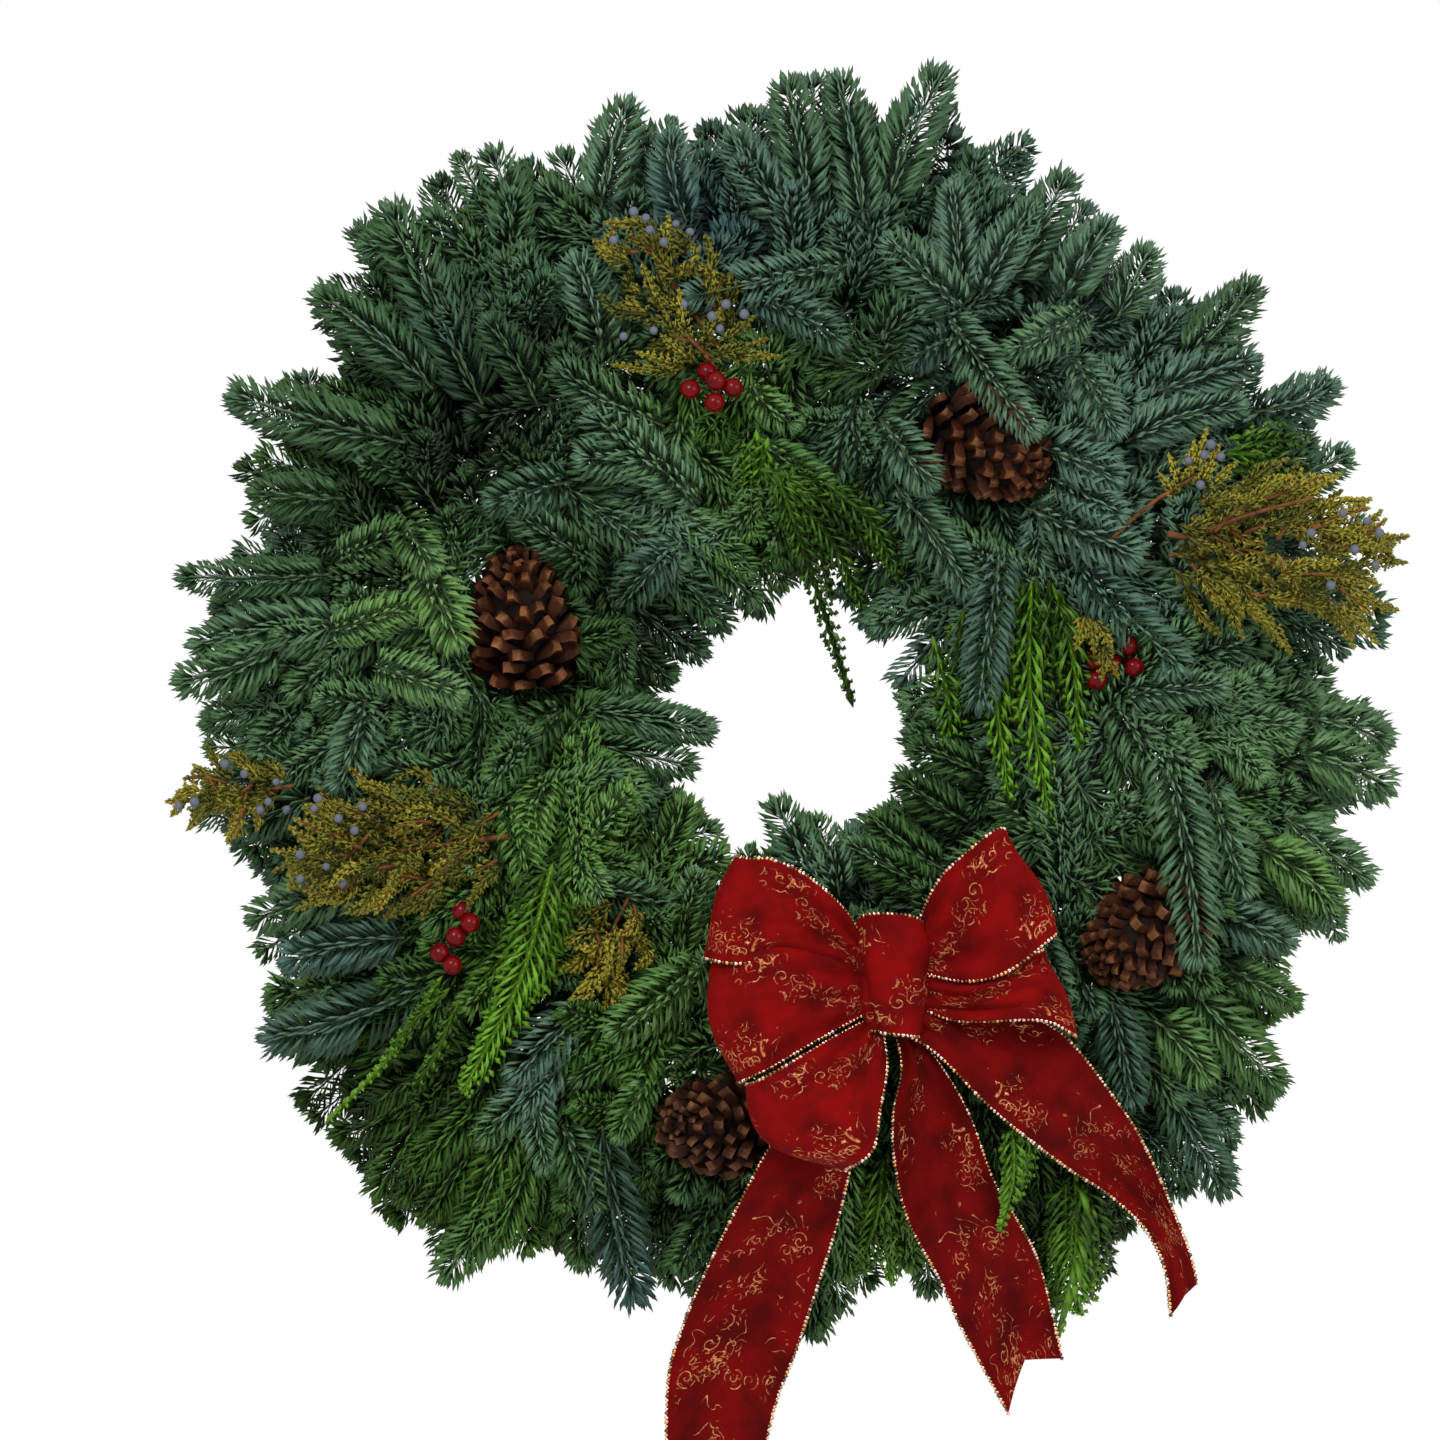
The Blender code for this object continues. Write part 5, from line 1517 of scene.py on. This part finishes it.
# Each tail has its left and right edge, its depths in front of the ring, the size of its waves
# and the depth of the notch in its end, all in millimetres.
BOW_TAILS = {
    "left": (
        ((-12, -20), (-42, -56), (-62, -86), (-78, -116), (-92, -146), (-105, -179), (-112, -205),
         (-113, -243), (-113, -282)),
        ((-4, -24), (-12, -66), (-21, -96), (-28, -126), (-38, -159), (-48, -189), (-58, -216),
         (-64, -246), (-67, -284)),
        (113, 108, 104, 98, 88, 74, 62, 52, 47, 44), 4, 12,
    ),
    "middle": (
        ((0, -22), (4, -44), (0, -66), (1, -92), (9, -124), (25, -154), (36, -179), (60, -223)),
        ((8, -22), (26, -47), (39, -70), (50, -100), (62, -121), (73, -141), (80, -162), (87, -195)),
        (116, 112, 104, 98, 88, 74, 60, 50, 46), 3.6, 16,
    ),
    "right": (
        ((12, -6), (50, -14), (84, -28), (112, -63), (128, -89), (143, -119), (152, -141), (156, -158)),
        ((0, -24), (22, -38), (50, -66), (89, -97), (110, -111), (127, -127), (137, -147), (141, -172)),
        (122, 122, 118, 112, 98, 80, 66, 54, 46), 4.2, 3,
    ),
}


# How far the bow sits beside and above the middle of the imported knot.
BOW_SHIFT = (-0.003, 0.002)
RIBBON_THICKNESS = 0.0007

# How much of the cut ribbon's area shows in a loop or a tail, drawn together at the knot.
GATHERED = 0.62


def bow_place(points, depth):
    """Points given from the knot, at their depths, in the frame."""
    x, z = points[..., 0], points[..., 1]
    return np.stack(np.broadcast_arrays(KNOT.x + BOW_SHIFT[0] + x, CENTRE.y - depth,
                                        KNOT.z + BOW_SHIFT[1] + z), axis=-1)


def edge_at(edge, share):
    """Points of an edge at shares of its length."""
    at = share * (len(edge) - 1)
    return np.stack([np.interp(at, np.arange(len(edge)), edge[:, k]) for k in (0, 1)], axis=-1)


def swell(surface, amount):
    """A grid of points moved along its own normals."""
    along, across = np.gradient(surface, axis=0), np.gradient(surface, axis=1)
    return surface + unit(np.cross(along, across)) * amount[..., None]


def row_lengths(surface):
    """How far each row lies from the first, along the middle of a ribbon."""
    middle = surface[:, surface.shape[1] // 2]
    return np.concatenate([[0], np.cumsum(np.linalg.norm(np.diff(middle, axis=0), axis=1))])


def ribbon_mesh(name, surface, width, look, closed=False):
    """A thin two-faced ribbon through a grid of points, rows along it and columns across."""
    rows, columns = surface.shape[0] - 1, surface.shape[1] - 1
    clear_selection()
    bpy.ops.mesh.primitive_grid_add(x_subdivisions=columns, y_subdivisions=rows, size=1,
                                    calc_uvs=True)
    o = bpy.context.active_object
    o.name = o.data.name = name
    at = row_lengths(surface)
    cells = [(round((v.co.y + 0.5) * rows), round((v.co.x + 0.5) * columns))
             for v in o.data.vertices]
    row_of, column_of = np.array(cells).T
    places = surface[row_of, column_of].astype(np.float32)
    o.data.vertices.foreach_set("co", places.ravel())
    uv = o.data.uv_layers.active
    for loop in o.data.loops:
        row, column = cells[loop.vertex_index]
        uv.data[loop.index].uv = (at[row], width * column / columns)
    o.data.materials.append(look)
    o.data.update()
    if closed:
        bm = bmesh.new()
        bm.from_mesh(o.data)
        bmesh.ops.remove_doubles(bm, verts=bm.verts, dist=0.00002)
        bm.to_mesh(o.data)
        bm.free()
    m = o.modifiers.new("thickness", "SOLIDIFY")
    m.thickness = RIBBON_THICKNESS
    m.offset = 0
    apply_all(o)
    o.data.shade_smooth()
    o.data.set_sharp_from_angle(angle=math.radians(60))
    return o


def beads(name, lines, radius, look, seed):
    """Small faceted metal beads strung along a ribbon's wired edges."""
    rng = np.random.RandomState(seed)
    heap = Heap()
    ball, faces = ball_template(4, 2)
    for line in lines:
        total = np.linalg.norm(np.diff(line, axis=0), axis=1).sum()
        spots = through(line, int(total / (radius * 1.75)))
        turned = np.empty((len(spots), len(ball), 3))
        for i, turn in enumerate(rng.normal(0, 1, (len(spots), 4))):
            w, x, y, z = turn / np.linalg.norm(turn)
            m = np.array([[1 - 2 * (y * y + z * z), 2 * (x * y - z * w), 2 * (x * z + y * w)],
                          [2 * (x * y + z * w), 1 - 2 * (x * x + z * z), 2 * (y * z - x * w)],
                          [2 * (x * z - y * w), 2 * (y * z + x * w), 1 - 2 * (x * x + y * y)]])
            turned[i] = ball @ m.T
        size = radius * rng.uniform(0.8, 1.2, len(spots))[:, None, None]
        looks = np.repeat(rng.uniform(0, 1, (len(spots), 1, 1)), 3, axis=2)
        heap.add(spots[:, None] + turned * size, faces, looks)
    o = heap.object(name, [look], smooth=False)
    return finish_piece(o, "velvet")


def vector_node(tree, operation, first, second=None):
    """The result of one step of vector arithmetic."""
    n = tree.nodes.new("ShaderNodeVectorMath")
    n.operation = operation
    tree.links.new(first, n.inputs[0])
    if second is not None:
        tree.links.new(second, n.inputs[1])
    return n.outputs["Value" if operation == "LENGTH" else "Vector"]


def curls(tree, place, spacing, winding, half_line):
    """Spiral strokes, one round each point of a loose lattice; sizes in metres."""
    cells = tree.nodes.new("ShaderNodeTexVoronoi")
    cells.voronoi_dimensions = "2D"
    cells.inputs["Scale"].default_value = 1 / spacing
    cells.inputs["Randomness"].default_value = 0.75
    tree.links.new(place, cells.inputs["Vector"])
    away = vector_node(tree, "SUBTRACT", place, cells.outputs["Position"])
    parts = tree.nodes.new("ShaderNodeSeparateXYZ")
    tree.links.new(away, parts.inputs[0])
    chance = tree.nodes.new("ShaderNodeSeparateColor")
    tree.links.new(cells.outputs["Color"], chance.inputs[0])
    reach = vector_node(tree, "LENGTH", away)
    turn = sums(tree, "ARCTAN2", parts.outputs[1], parts.outputs[0])
    turn = sums(tree, "DIVIDE", turn, 2 * math.pi)
    wound = sums(tree, "DIVIDE", reach, winding)
    wound = sums(tree, "SUBTRACT", wound, sums(tree, "ADD", turn, chance.outputs[0]))
    off = sums(tree, "ABSOLUTE", sums(tree, "SUBTRACT", sums(tree, "FRACT", wound), 0.5))
    line = ramp(tree, off, half_line / winding, half_line / winding * 0.5)
    size = ramp(tree, chance.outputs[1], 0.0, 1.0, 0.30 * spacing, 0.52 * spacing)
    within = ramp(tree, sums(tree, "SUBTRACT", size, reach), 0.0, 0.0006)
    return sums(tree, "MULTIPLY", line, within)


# Half the width of a printed curl's line.
CURL_LINE = 0.00042


def scroll_group():
    """Gold scrollwork in ribbon space: spiral curls and thin strokes in loose clusters."""
    tree, start, end = new_group("gold_scroll", ("Width", "Sparse"), ("Strokes",))
    place, width, sparse = start.outputs[:3]

    def clustered(line, cover_scale, cover_from, fade, break_scale, cut, gap):
        """The strokes kept where clusters of print lie, broken into short runs."""
        cover = sums(tree, "SUBTRACT", noise(tree, place, cover_scale, 1.0), sparse)
        shown = ramp(tree, cover, cover_from, cover_from + fade)
        broken = ramp(tree, noise(tree, place, break_scale, 0.0), cut, cut + gap)
        return sums(tree, "MULTIPLY", sums(tree, "MULTIPLY", line, shown), broken)

    strokes = 0.0
    for scale, curl, fine, cover_scale, cover_from, cut in (
            (70, 1.3, 0.022, 30, 0.53, 0.44), (110, 1.6, 0.026, 27, 0.56, 0.46),
            (150, 1.0, 0.028, 34, 0.57, 0.48)):
        off = sums(tree, "SUBTRACT", noise(tree, place, scale, 0.4, curl), 0.5)
        line = ramp(tree, sums(tree, "ABSOLUTE", off), fine, fine * 0.55)
        line = clustered(line, cover_scale, cover_from, 0.02, scale * 2.3, cut, 0.03)
        strokes = sums(tree, "MAXIMUM", strokes, line)
    for spacing, winding, cover_from in ((0.0130, 0.0036, 0.49), (0.0085, 0.0028, 0.53)):
        line = clustered(curls(tree, place, spacing, winding, CURL_LINE), 27, cover_from, 0.03,
                         190, 0.40, 0.04)
        strokes = sums(tree, "MAXIMUM", strokes, line)
    parts = tree.nodes.new("ShaderNodeSeparateXYZ")
    tree.links.new(place, parts.inputs[0])
    half = sums(tree, "MULTIPLY", width, 0.5)
    off = sums(tree, "ABSOLUTE", sums(tree, "SUBTRACT", parts.outputs[1], half))
    inside = ramp(tree, sums(tree, "SUBTRACT", half, off), 0.0045, 0.0065)
    tree.links.new(sums(tree, "MULTIPLY", strokes, inside), end.inputs[0])
    return tree


def velvet_look(name, pile_colour, gold_colour, width, sparse):
    """Dark red pile with gold print that follows the ribbon, with painted sheen and painted glints."""
    m, tree, shader = new_material(name, 0.85, specular=0.08)
    uv = tree.nodes.new("ShaderNodeUVMap").outputs[0]
    n = tree.nodes.new("ShaderNodeGroup")
    n.node_tree = shared_group(scroll_group, "gold_scroll")
    n.inputs[1].default_value = width
    n.inputs[2].default_value = sparse
    tree.links.new(uv, n.inputs[0])
    # Broad lighter and darker patches of the pile: painted sheen and shade.
    pile = noise(tree, uv, 42, 3.0)
    nap = noise(tree, uv, 2600, 1.0)
    dark = dimmed(pile_colour, 0.50)
    light = tuple(min(1.0, c * 1.25) for c in pile_colour)
    base = mix_colour(tree, ramp(tree, pile, 0.36, 0.62), dark, light)
    base = mix_colour(tree, ramp(tree, nap, 0.35, 0.65, 0.0, 0.35), base, dark)
    worn = ramp(tree, noise(tree, uv, 480, 2.0), 0.36, 0.60, 0.25, 1.0)
    gold = sums(tree, "MULTIPLY", n.outputs[0], worn)
    # Brighter and duller spots of the print: painted glints.
    painted_glint = ramp(tree, noise(tree, uv, 1100, 1.0), 0.42, 0.60)
    print_colour = mix_colour(tree, painted_glint, dimmed(gold_colour, 0.75, 0.45, 0.30), gold_colour)
    base = mix_colour(tree, gold, base, print_colour)
    tree.links.new(base, shader.inputs["Base Color"])
    tree.links.new(sums(tree, "MULTIPLY", gold, 0.6), shader.inputs["Metallic"])
    tree.links.new(ramp(tree, gold, 0.0, 1.0, 0.85, 0.34), shader.inputs["Roughness"])
    shader.inputs["Sheen Weight"].default_value = 0.16
    shader.inputs["Sheen Roughness"].default_value = 0.40
    shader.inputs["Sheen Tint"].default_value = (0.9, 0.03, 0.02, 1)
    bump(tree, shader, sums(tree, "ADD", nap, sums(tree, "MULTIPLY", gold, 1.5)), 0.00025)
    return m


def gold_look(gold_colour):
    """Metal beads, some pale and some dark, in part painted sparkle and painted shade."""
    m, tree, shader = new_material("gold_beads", 0.2, metallic=1.0)
    chance = look_parts(tree)[0]
    grain = mottle(tree, 420, 3000)[1]
    # The pale beads are silvery and in part painted sparkle; the dark ones are in part painted shade.
    bright = tuple(0.45 + 0.5 * c for c in gold_colour)
    base = mix_colour(tree, ramp(tree, chance, 0.30, 0.45), dimmed(gold_colour, 0.22), gold_colour)
    base = mix_colour(tree, ramp(tree, chance, 0.60, 0.75), base, bright)
    tree.links.new(base, shader.inputs["Base Color"])
    tree.links.new(ramp(tree, grain, 0.2, 0.8, 0.12, 0.32), shader.inputs["Roughness"])
    return m


class WREATH_OT_bow(bpy.types.Operator):
    """Fold the velvet ribbon into knot, five loops and three tails"""
    bl_idname = "wreath.bow"
    bl_label = "Ribbon bow"

    # Cells along and across each piece of ribbon.
    rows, columns = 72, 18

    def execute(self, context):
        sizes, tones = context.scene.wreath_sizes, context.scene.wreath_colours
        self.width, self.bead = sizes.ribbon_width, sizes.bead
        self.velvet = velvet_look("red_velvet", tones.velvet, tones.gold, self.width, 0.0)
        # The tails take the same velvet painted darker, at 0.74 of its colour, as painted shade.
        self.painted_shade_tail_velvet = velvet_look("red_velvet_painted_shade_tails", dimmed(tones.velvet, 0.74), tones.gold,
                                       self.width, 0.03)
        self.gold = gold_look(tones.gold)
        self.depth = CENTRE.y - KNOT.y
        self.knot()
        for name, row in BOW_LOOPS.items():
            self.loop(name, *row)
        for name, row in BOW_TAILS.items():
            self.tail(name, *row)
        paint(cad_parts["bow_tie_wire"], steel_look("tie_wire"))
        return {"FINISHED"}

    def declare(self, o, node, surface, held, rests_on, seed, shown=None):
        """Bead both edges of a piece and let it stand for its node; shown is not used."""
        trim = beads(o.name + "_edge", [surface[:, 0], surface[:, -1]], self.bead, self.gold, seed)
        finish_piece(o, "velvet", node)

    def knot(self):
        """The short band wrapped round the middle, creased along its length."""
        u = np.linspace(0, 1, self.rows + 1)[:, None]
        v = np.linspace(-1, 1, self.columns + 1)[None]
        turn = 2 * math.pi * u + math.pi
        wide = 0.0172 + 0.0022 * v - 0.0030 * v ** 4
        x = wide * np.sign(np.sin(turn)) * np.abs(np.sin(turn)) ** 0.8 * -1
        depth = self.depth + 0.0128 * (1 - 0.14 * v ** 4) * np.cos(turn)
        z = 0.0275 * v + 0.0012 * np.sin(turn) + 0.0045 * np.clip(v, 0, 1) ** 2 * np.cos(turn)
        surface = bow_place(np.stack(np.broadcast_arrays(x, z), axis=-1), depth)
        crease = 0.0008 * np.cos(2.6 * math.pi * v + 1.5 * np.sin(turn)) + 0.0014 * np.exp(
            -((turn - 2 * math.pi - 0.9 - 0.25 * v) / 0.12) ** 2)
        surface = swell(surface, np.broadcast_to(crease, surface.shape[:2]))
        surface[-1] = surface[0]
        o = ribbon_mesh("ribbon_knot", surface, self.width, self.velvet, closed=True)
        self.declare(o, "bow_knot", surface, "folded", ["ribbon_loop_bottom"], 41)

    def loop(self, name, upper, lower, forward, round_end, rise):
        """Out from the knot, round and back behind, gathered where the knot holds it."""
        upper, lower = through(metres(upper), 101), through(metres(lower), 101)
        forward, round_end, rise = metres((forward, round_end, rise))
        turn = np.linspace(0.0, 2 * math.pi, self.rows + 1)
        out = np.clip(np.sin(turn / 2), 0, 1) ** 1.15
        v = np.linspace(0, 1, self.columns + 1)
        a, b = edge_at(upper, out), edge_at(lower, out)
        behind = np.clip((turn - math.pi) / (math.pi / 2), 0, 1)[:, None] * 0.16
        a, b = a + (b - a) * behind, b + (a - b) * behind
        plane = a[:, None] * (1 - v[None, :, None]) + b[:, None] * v[None, :, None]
        end = upper[-1] + lower[-1] - upper[-10] - lower[-10]
        end = end / np.linalg.norm(end)
        arch = np.sin(math.pi * v)
        plane = plane + end * (out ** 5)[:, None, None] * arch[None, :, None] * round_end
        crown = 0.004 * arch[None] * out[:, None]
        depth = (self.depth + rise * out[:, None] + crown
                 + forward * (np.sin(turn) * out ** 0.35)[:, None])
        surface = bow_place(plane, depth)
        near = (1 - out)[:, None]
        pleats = 0.0030 * near ** 0.9 * (1 - near ** 6) * np.cos(math.pi * (6.0 * v[None] + 0.4))
        waves = 0.0012 * np.sin(5.1 * v[None] + 3.3 * turn[:, None]) * out[:, None]
        surface = swell(surface, -(pleats + waves))
        o = ribbon_mesh("ribbon_loop_" + name, surface, self.width, self.velvet)
        self.declare(o, "bow_loop_" + name, surface, "folded", ["ribbon_knot"], len(name), GATHERED)

    def tail(self, name, left, right, depths, waves, notch):
        """Down from the knot over the greenery, waving a little, with a notched end."""
        v = np.linspace(0, 1, self.columns + 1)
        u = np.linspace(0, 1, self.rows + 1)
        left, right = through(metres(left), 201), through(metres(right), 201)
        depths, waves, notch = metres(depths), metres(waves), metres(notch)
        share = u[:, None] * (1 - notch * 4.2 * (1 - np.abs(2 * v - 1))[None])
        plane = (edge_at(left, share) * (1 - v[None, :, None])
                 + edge_at(right, share) * v[None, :, None])
        depth = np.interp(share, np.linspace(0, 1, len(depths)), depths)
        surface = bow_place(plane, depth)
        grown = np.minimum(1, u * 3)[:, None]
        wave = waves * np.sin(2 * math.pi * (1.6 * u[:, None] + 0.45 * v[None]) + len(name)) * grown
        crown = 0.0035 * np.sin(math.pi * v)[None] * np.sin(math.pi * np.clip(u * 1.1, 0, 1))[:, None]
        pleats = 0.0022 * np.clip(1 - u * 4, 0, 1)[:, None] * np.cos(5 * math.pi * v[None])
        surface = swell(surface, wave + crown + pleats)
        o = ribbon_mesh("ribbon_tail_" + name, surface, self.width, self.painted_shade_tail_velvet)
        self.declare(o, "bow_tail_" + name, surface, "hung", ["ribbon_knot"], 7 * len(name), GATHERED)


# ---------------------------------------------------------------- ring, binding and loop

class WREATH_OT_wires(bpy.types.Operator):
    """Make the ring, the wire that binds the stems to it and the hanging loop"""
    bl_idname = "wreath.wires"
    bl_label = "Ring, binding and hanging loop"

    def execute(self, context):
        green = painted_wire_look("painted_wire", context.scene.wreath_colours.green_wire)
        self.ring(green)
        self.binding(green)
        self.loop(steel_look("loop_wire"))
        return {"FINISHED"}

    def ring(self, look):
        """The heavy wire ring that everything is bound to."""
        clear_selection()
        bpy.ops.mesh.primitive_torus_add(major_segments=120, minor_segments=10,
                                         major_radius=RING_R, minor_radius=RING_WIRE,
                                         location=CENTRE, rotation=(math.pi / 2, 0, 0))
        bpy.ops.object.transform_apply(location=True, rotation=True, scale=True)
        o = bpy.context.active_object
        o.name = "ring_wire"
        o.data.shade_smooth()
        o.data.materials.append(look)
        finish_piece(o, "green_wire", "wire_ring")

    def binding(self, look):
        """One long wire wound round ring and stems, with its ends joined."""
        count = BIND_TURNS * 16
        points = []
        for i in range(count):
            turn = 2 * math.pi * i * BIND_TURNS / count
            angle = 90 + STEP / 4 + 360 * i / count
            points.append(polar(RING_R + BIND_R * math.sin(turn), angle,
                                BUNDLE_DEPTH + BIND_R * math.cos(turn)))
        o = wire_object("binding_turns", points, BIND_WIRE, look, closed=True, sides=0)
        finish_piece(o, "green_wire", "binding_wire")

    def loop(self, look):
        """Two legs hooked round ring and stems, with the bend that the hook carries."""
        def leg(side):
            x = side * 0.0062
            hook = []
            for i in range(9):
                a = math.radians(180 + 215 * i / 8)
                hook.append(flat(x, RING_R + WRAP_R * math.sin(a),
                                 BUNDLE_DEPTH + WRAP_R * math.cos(a)))
            return [flat(side * LOOP_R, RING_R + 0.033, LOOP_DEPTH),
                    flat(side * LOOP_R * 0.85, RING_R + 0.022, LOOP_DEPTH)] + hook

        middle = LOOP_RISE + LOOP_WIRE - LOOP_R
        arc = []
        for i in range(1, 8):
            a = math.pi * i / 8
            arc.append(flat(LOOP_R * math.cos(a), RING_R + middle + LOOP_R * math.sin(a),
                            LOOP_DEPTH))
        points = through(leg(1)[::-1] + arc + leg(-1), 110)
        o = wire_object("hanging_wire", points, LOOP_WIRE, look)
        finish_piece(o, "steel_wire", "hanging_loop")


# ---------------------------------------------------------------- stage

class WREATH_OT_stage(bpy.types.Operator):
    """Camera, soft lights, pale floor and bright surroundings"""
    bl_idname = "wreath.stage"
    bl_label = "Studio stage"

    distance = 4.0
    view_width = 0.7315

    def execute(self, context):
        scene = context.scene
        aim = Vector((-0.034, CENTRE.y - 0.03, CENTRE.z - 0.007))
        camera = bpy.data.objects.new("camera", bpy.data.cameras.new("camera"))
        scene.collection.objects.link(camera)
        camera.location = aim + Vector((0, -self.distance, 0))
        camera.rotation_euler = (math.radians(90), 0, 0)
        camera.data.sensor_width = 36
        camera.data.lens = 36 * self.distance / self.view_width
        scene.camera = camera
        self.light(scene, aim, "key_light", (-0.9, -2.4, 1.2), 1.1, 42)
        self.light(scene, aim, "fill_light", (1.6, -1.8, 0.2), 1.4, 15)
        self.light(scene, aim, "back_light", (0.6, 1.9, 1.0), 1.4, 30)
        self.floor()
        self.surroundings(scene)
        scene.view_settings.view_transform = "Standard"
        return {"FINISHED"}

    def light(self, scene, aim, name, place, size, power):
        data = bpy.data.lights.new(name, "AREA")
        data.shape = "DISK"
        data.size, data.energy = size, power
        light = bpy.data.objects.new(name, data)
        scene.collection.objects.link(light)
        light.location = place
        light.rotation_euler = (aim - Vector(place)).to_track_quat("-Z", "Y").to_euler()
        light.visible_camera = False

    def floor(self):
        clear_selection()
        bpy.ops.mesh.primitive_circle_add(vertices=64, radius=0.6, fill_type="NGON",
                                          location=(0, 0, -1.15))
        floor = bpy.context.active_object
        floor.name = "pale_floor"
        m, tree, shader = new_material("floor_paint", 0.7)
        grain = noise(tree, object_place(tree), 60, 3.0)
        tree.links.new(mix_colour(tree, grain, (0.78, 0.78, 0.77), (0.84, 0.84, 0.83)),
                       shader.inputs["Base Color"])
        floor.data.materials.append(m)
        floor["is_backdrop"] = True

    def surroundings(self, scene):
        world = bpy.data.worlds.new("bright_room")
        scene.world = world
        world.use_nodes = True
        nodes, links = world.node_tree.nodes, world.node_tree.links
        glow = nodes["Background"]
        glow.inputs["Color"].default_value = (1, 1, 1, 1)
        glow.inputs["Strength"].default_value = 0.72
        plain = nodes.new("ShaderNodeBackground")
        plain.inputs["Color"].default_value = (1, 1, 1, 1)
        path = nodes.new("ShaderNodeLightPath")
        both = nodes.new("ShaderNodeMixShader")
        links.new(path.outputs["Is Camera Ray"], both.inputs["Fac"])
        links.new(glow.outputs[0], both.inputs[1])
        links.new(plain.outputs[0], both.inputs[2])
        links.new(both.outputs[0], nodes["World Output"].inputs["Surface"])


# ---------------------------------------------------------------- panel and running

PIECES = (WREATH_OT_stage, WREATH_OT_wires, WREATH_OT_cones, WREATH_OT_berries, WREATH_OT_bow,
          WREATH_OT_cedar, WREATH_OT_juniper, WREATH_OT_fir)


class WREATH_PT_panel(bpy.types.Panel):
    """The wreath's sizes, colours and pieces"""
    bl_label = "Wreath"
    bl_idname = "WREATH_PT_panel"
    bl_space_type = "VIEW_3D"
    bl_region_type = "UI"
    bl_category = "Wreath"

    def draw(self, context):
        for group in (context.scene.wreath_sizes, context.scene.wreath_colours):
            for name in group.__annotations__:
                self.layout.prop(group, name)
        for piece in PIECES:
            self.layout.operator(piece.bl_idname)


CLASSES = (WreathSizes, WreathColours, *PIECES, WREATH_PT_panel)


def register():
    for c in CLASSES:
        bpy.utils.register_class(c)
    bpy.types.Scene.wreath_sizes = bpy.props.PointerProperty(type=WreathSizes)
    bpy.types.Scene.wreath_colours = bpy.props.PointerProperty(type=WreathColours)


def unregister():
    del bpy.types.Scene.wreath_sizes
    del bpy.types.Scene.wreath_colours
    for c in reversed(CLASSES):
        bpy.utils.unregister_class(c)


def main():
    register()
    for piece in PIECES:
        group, name = piece.bl_idname.split(".")
        getattr(getattr(bpy.ops, group), name)()
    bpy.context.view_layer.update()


if __name__ == "__main__":
    main()
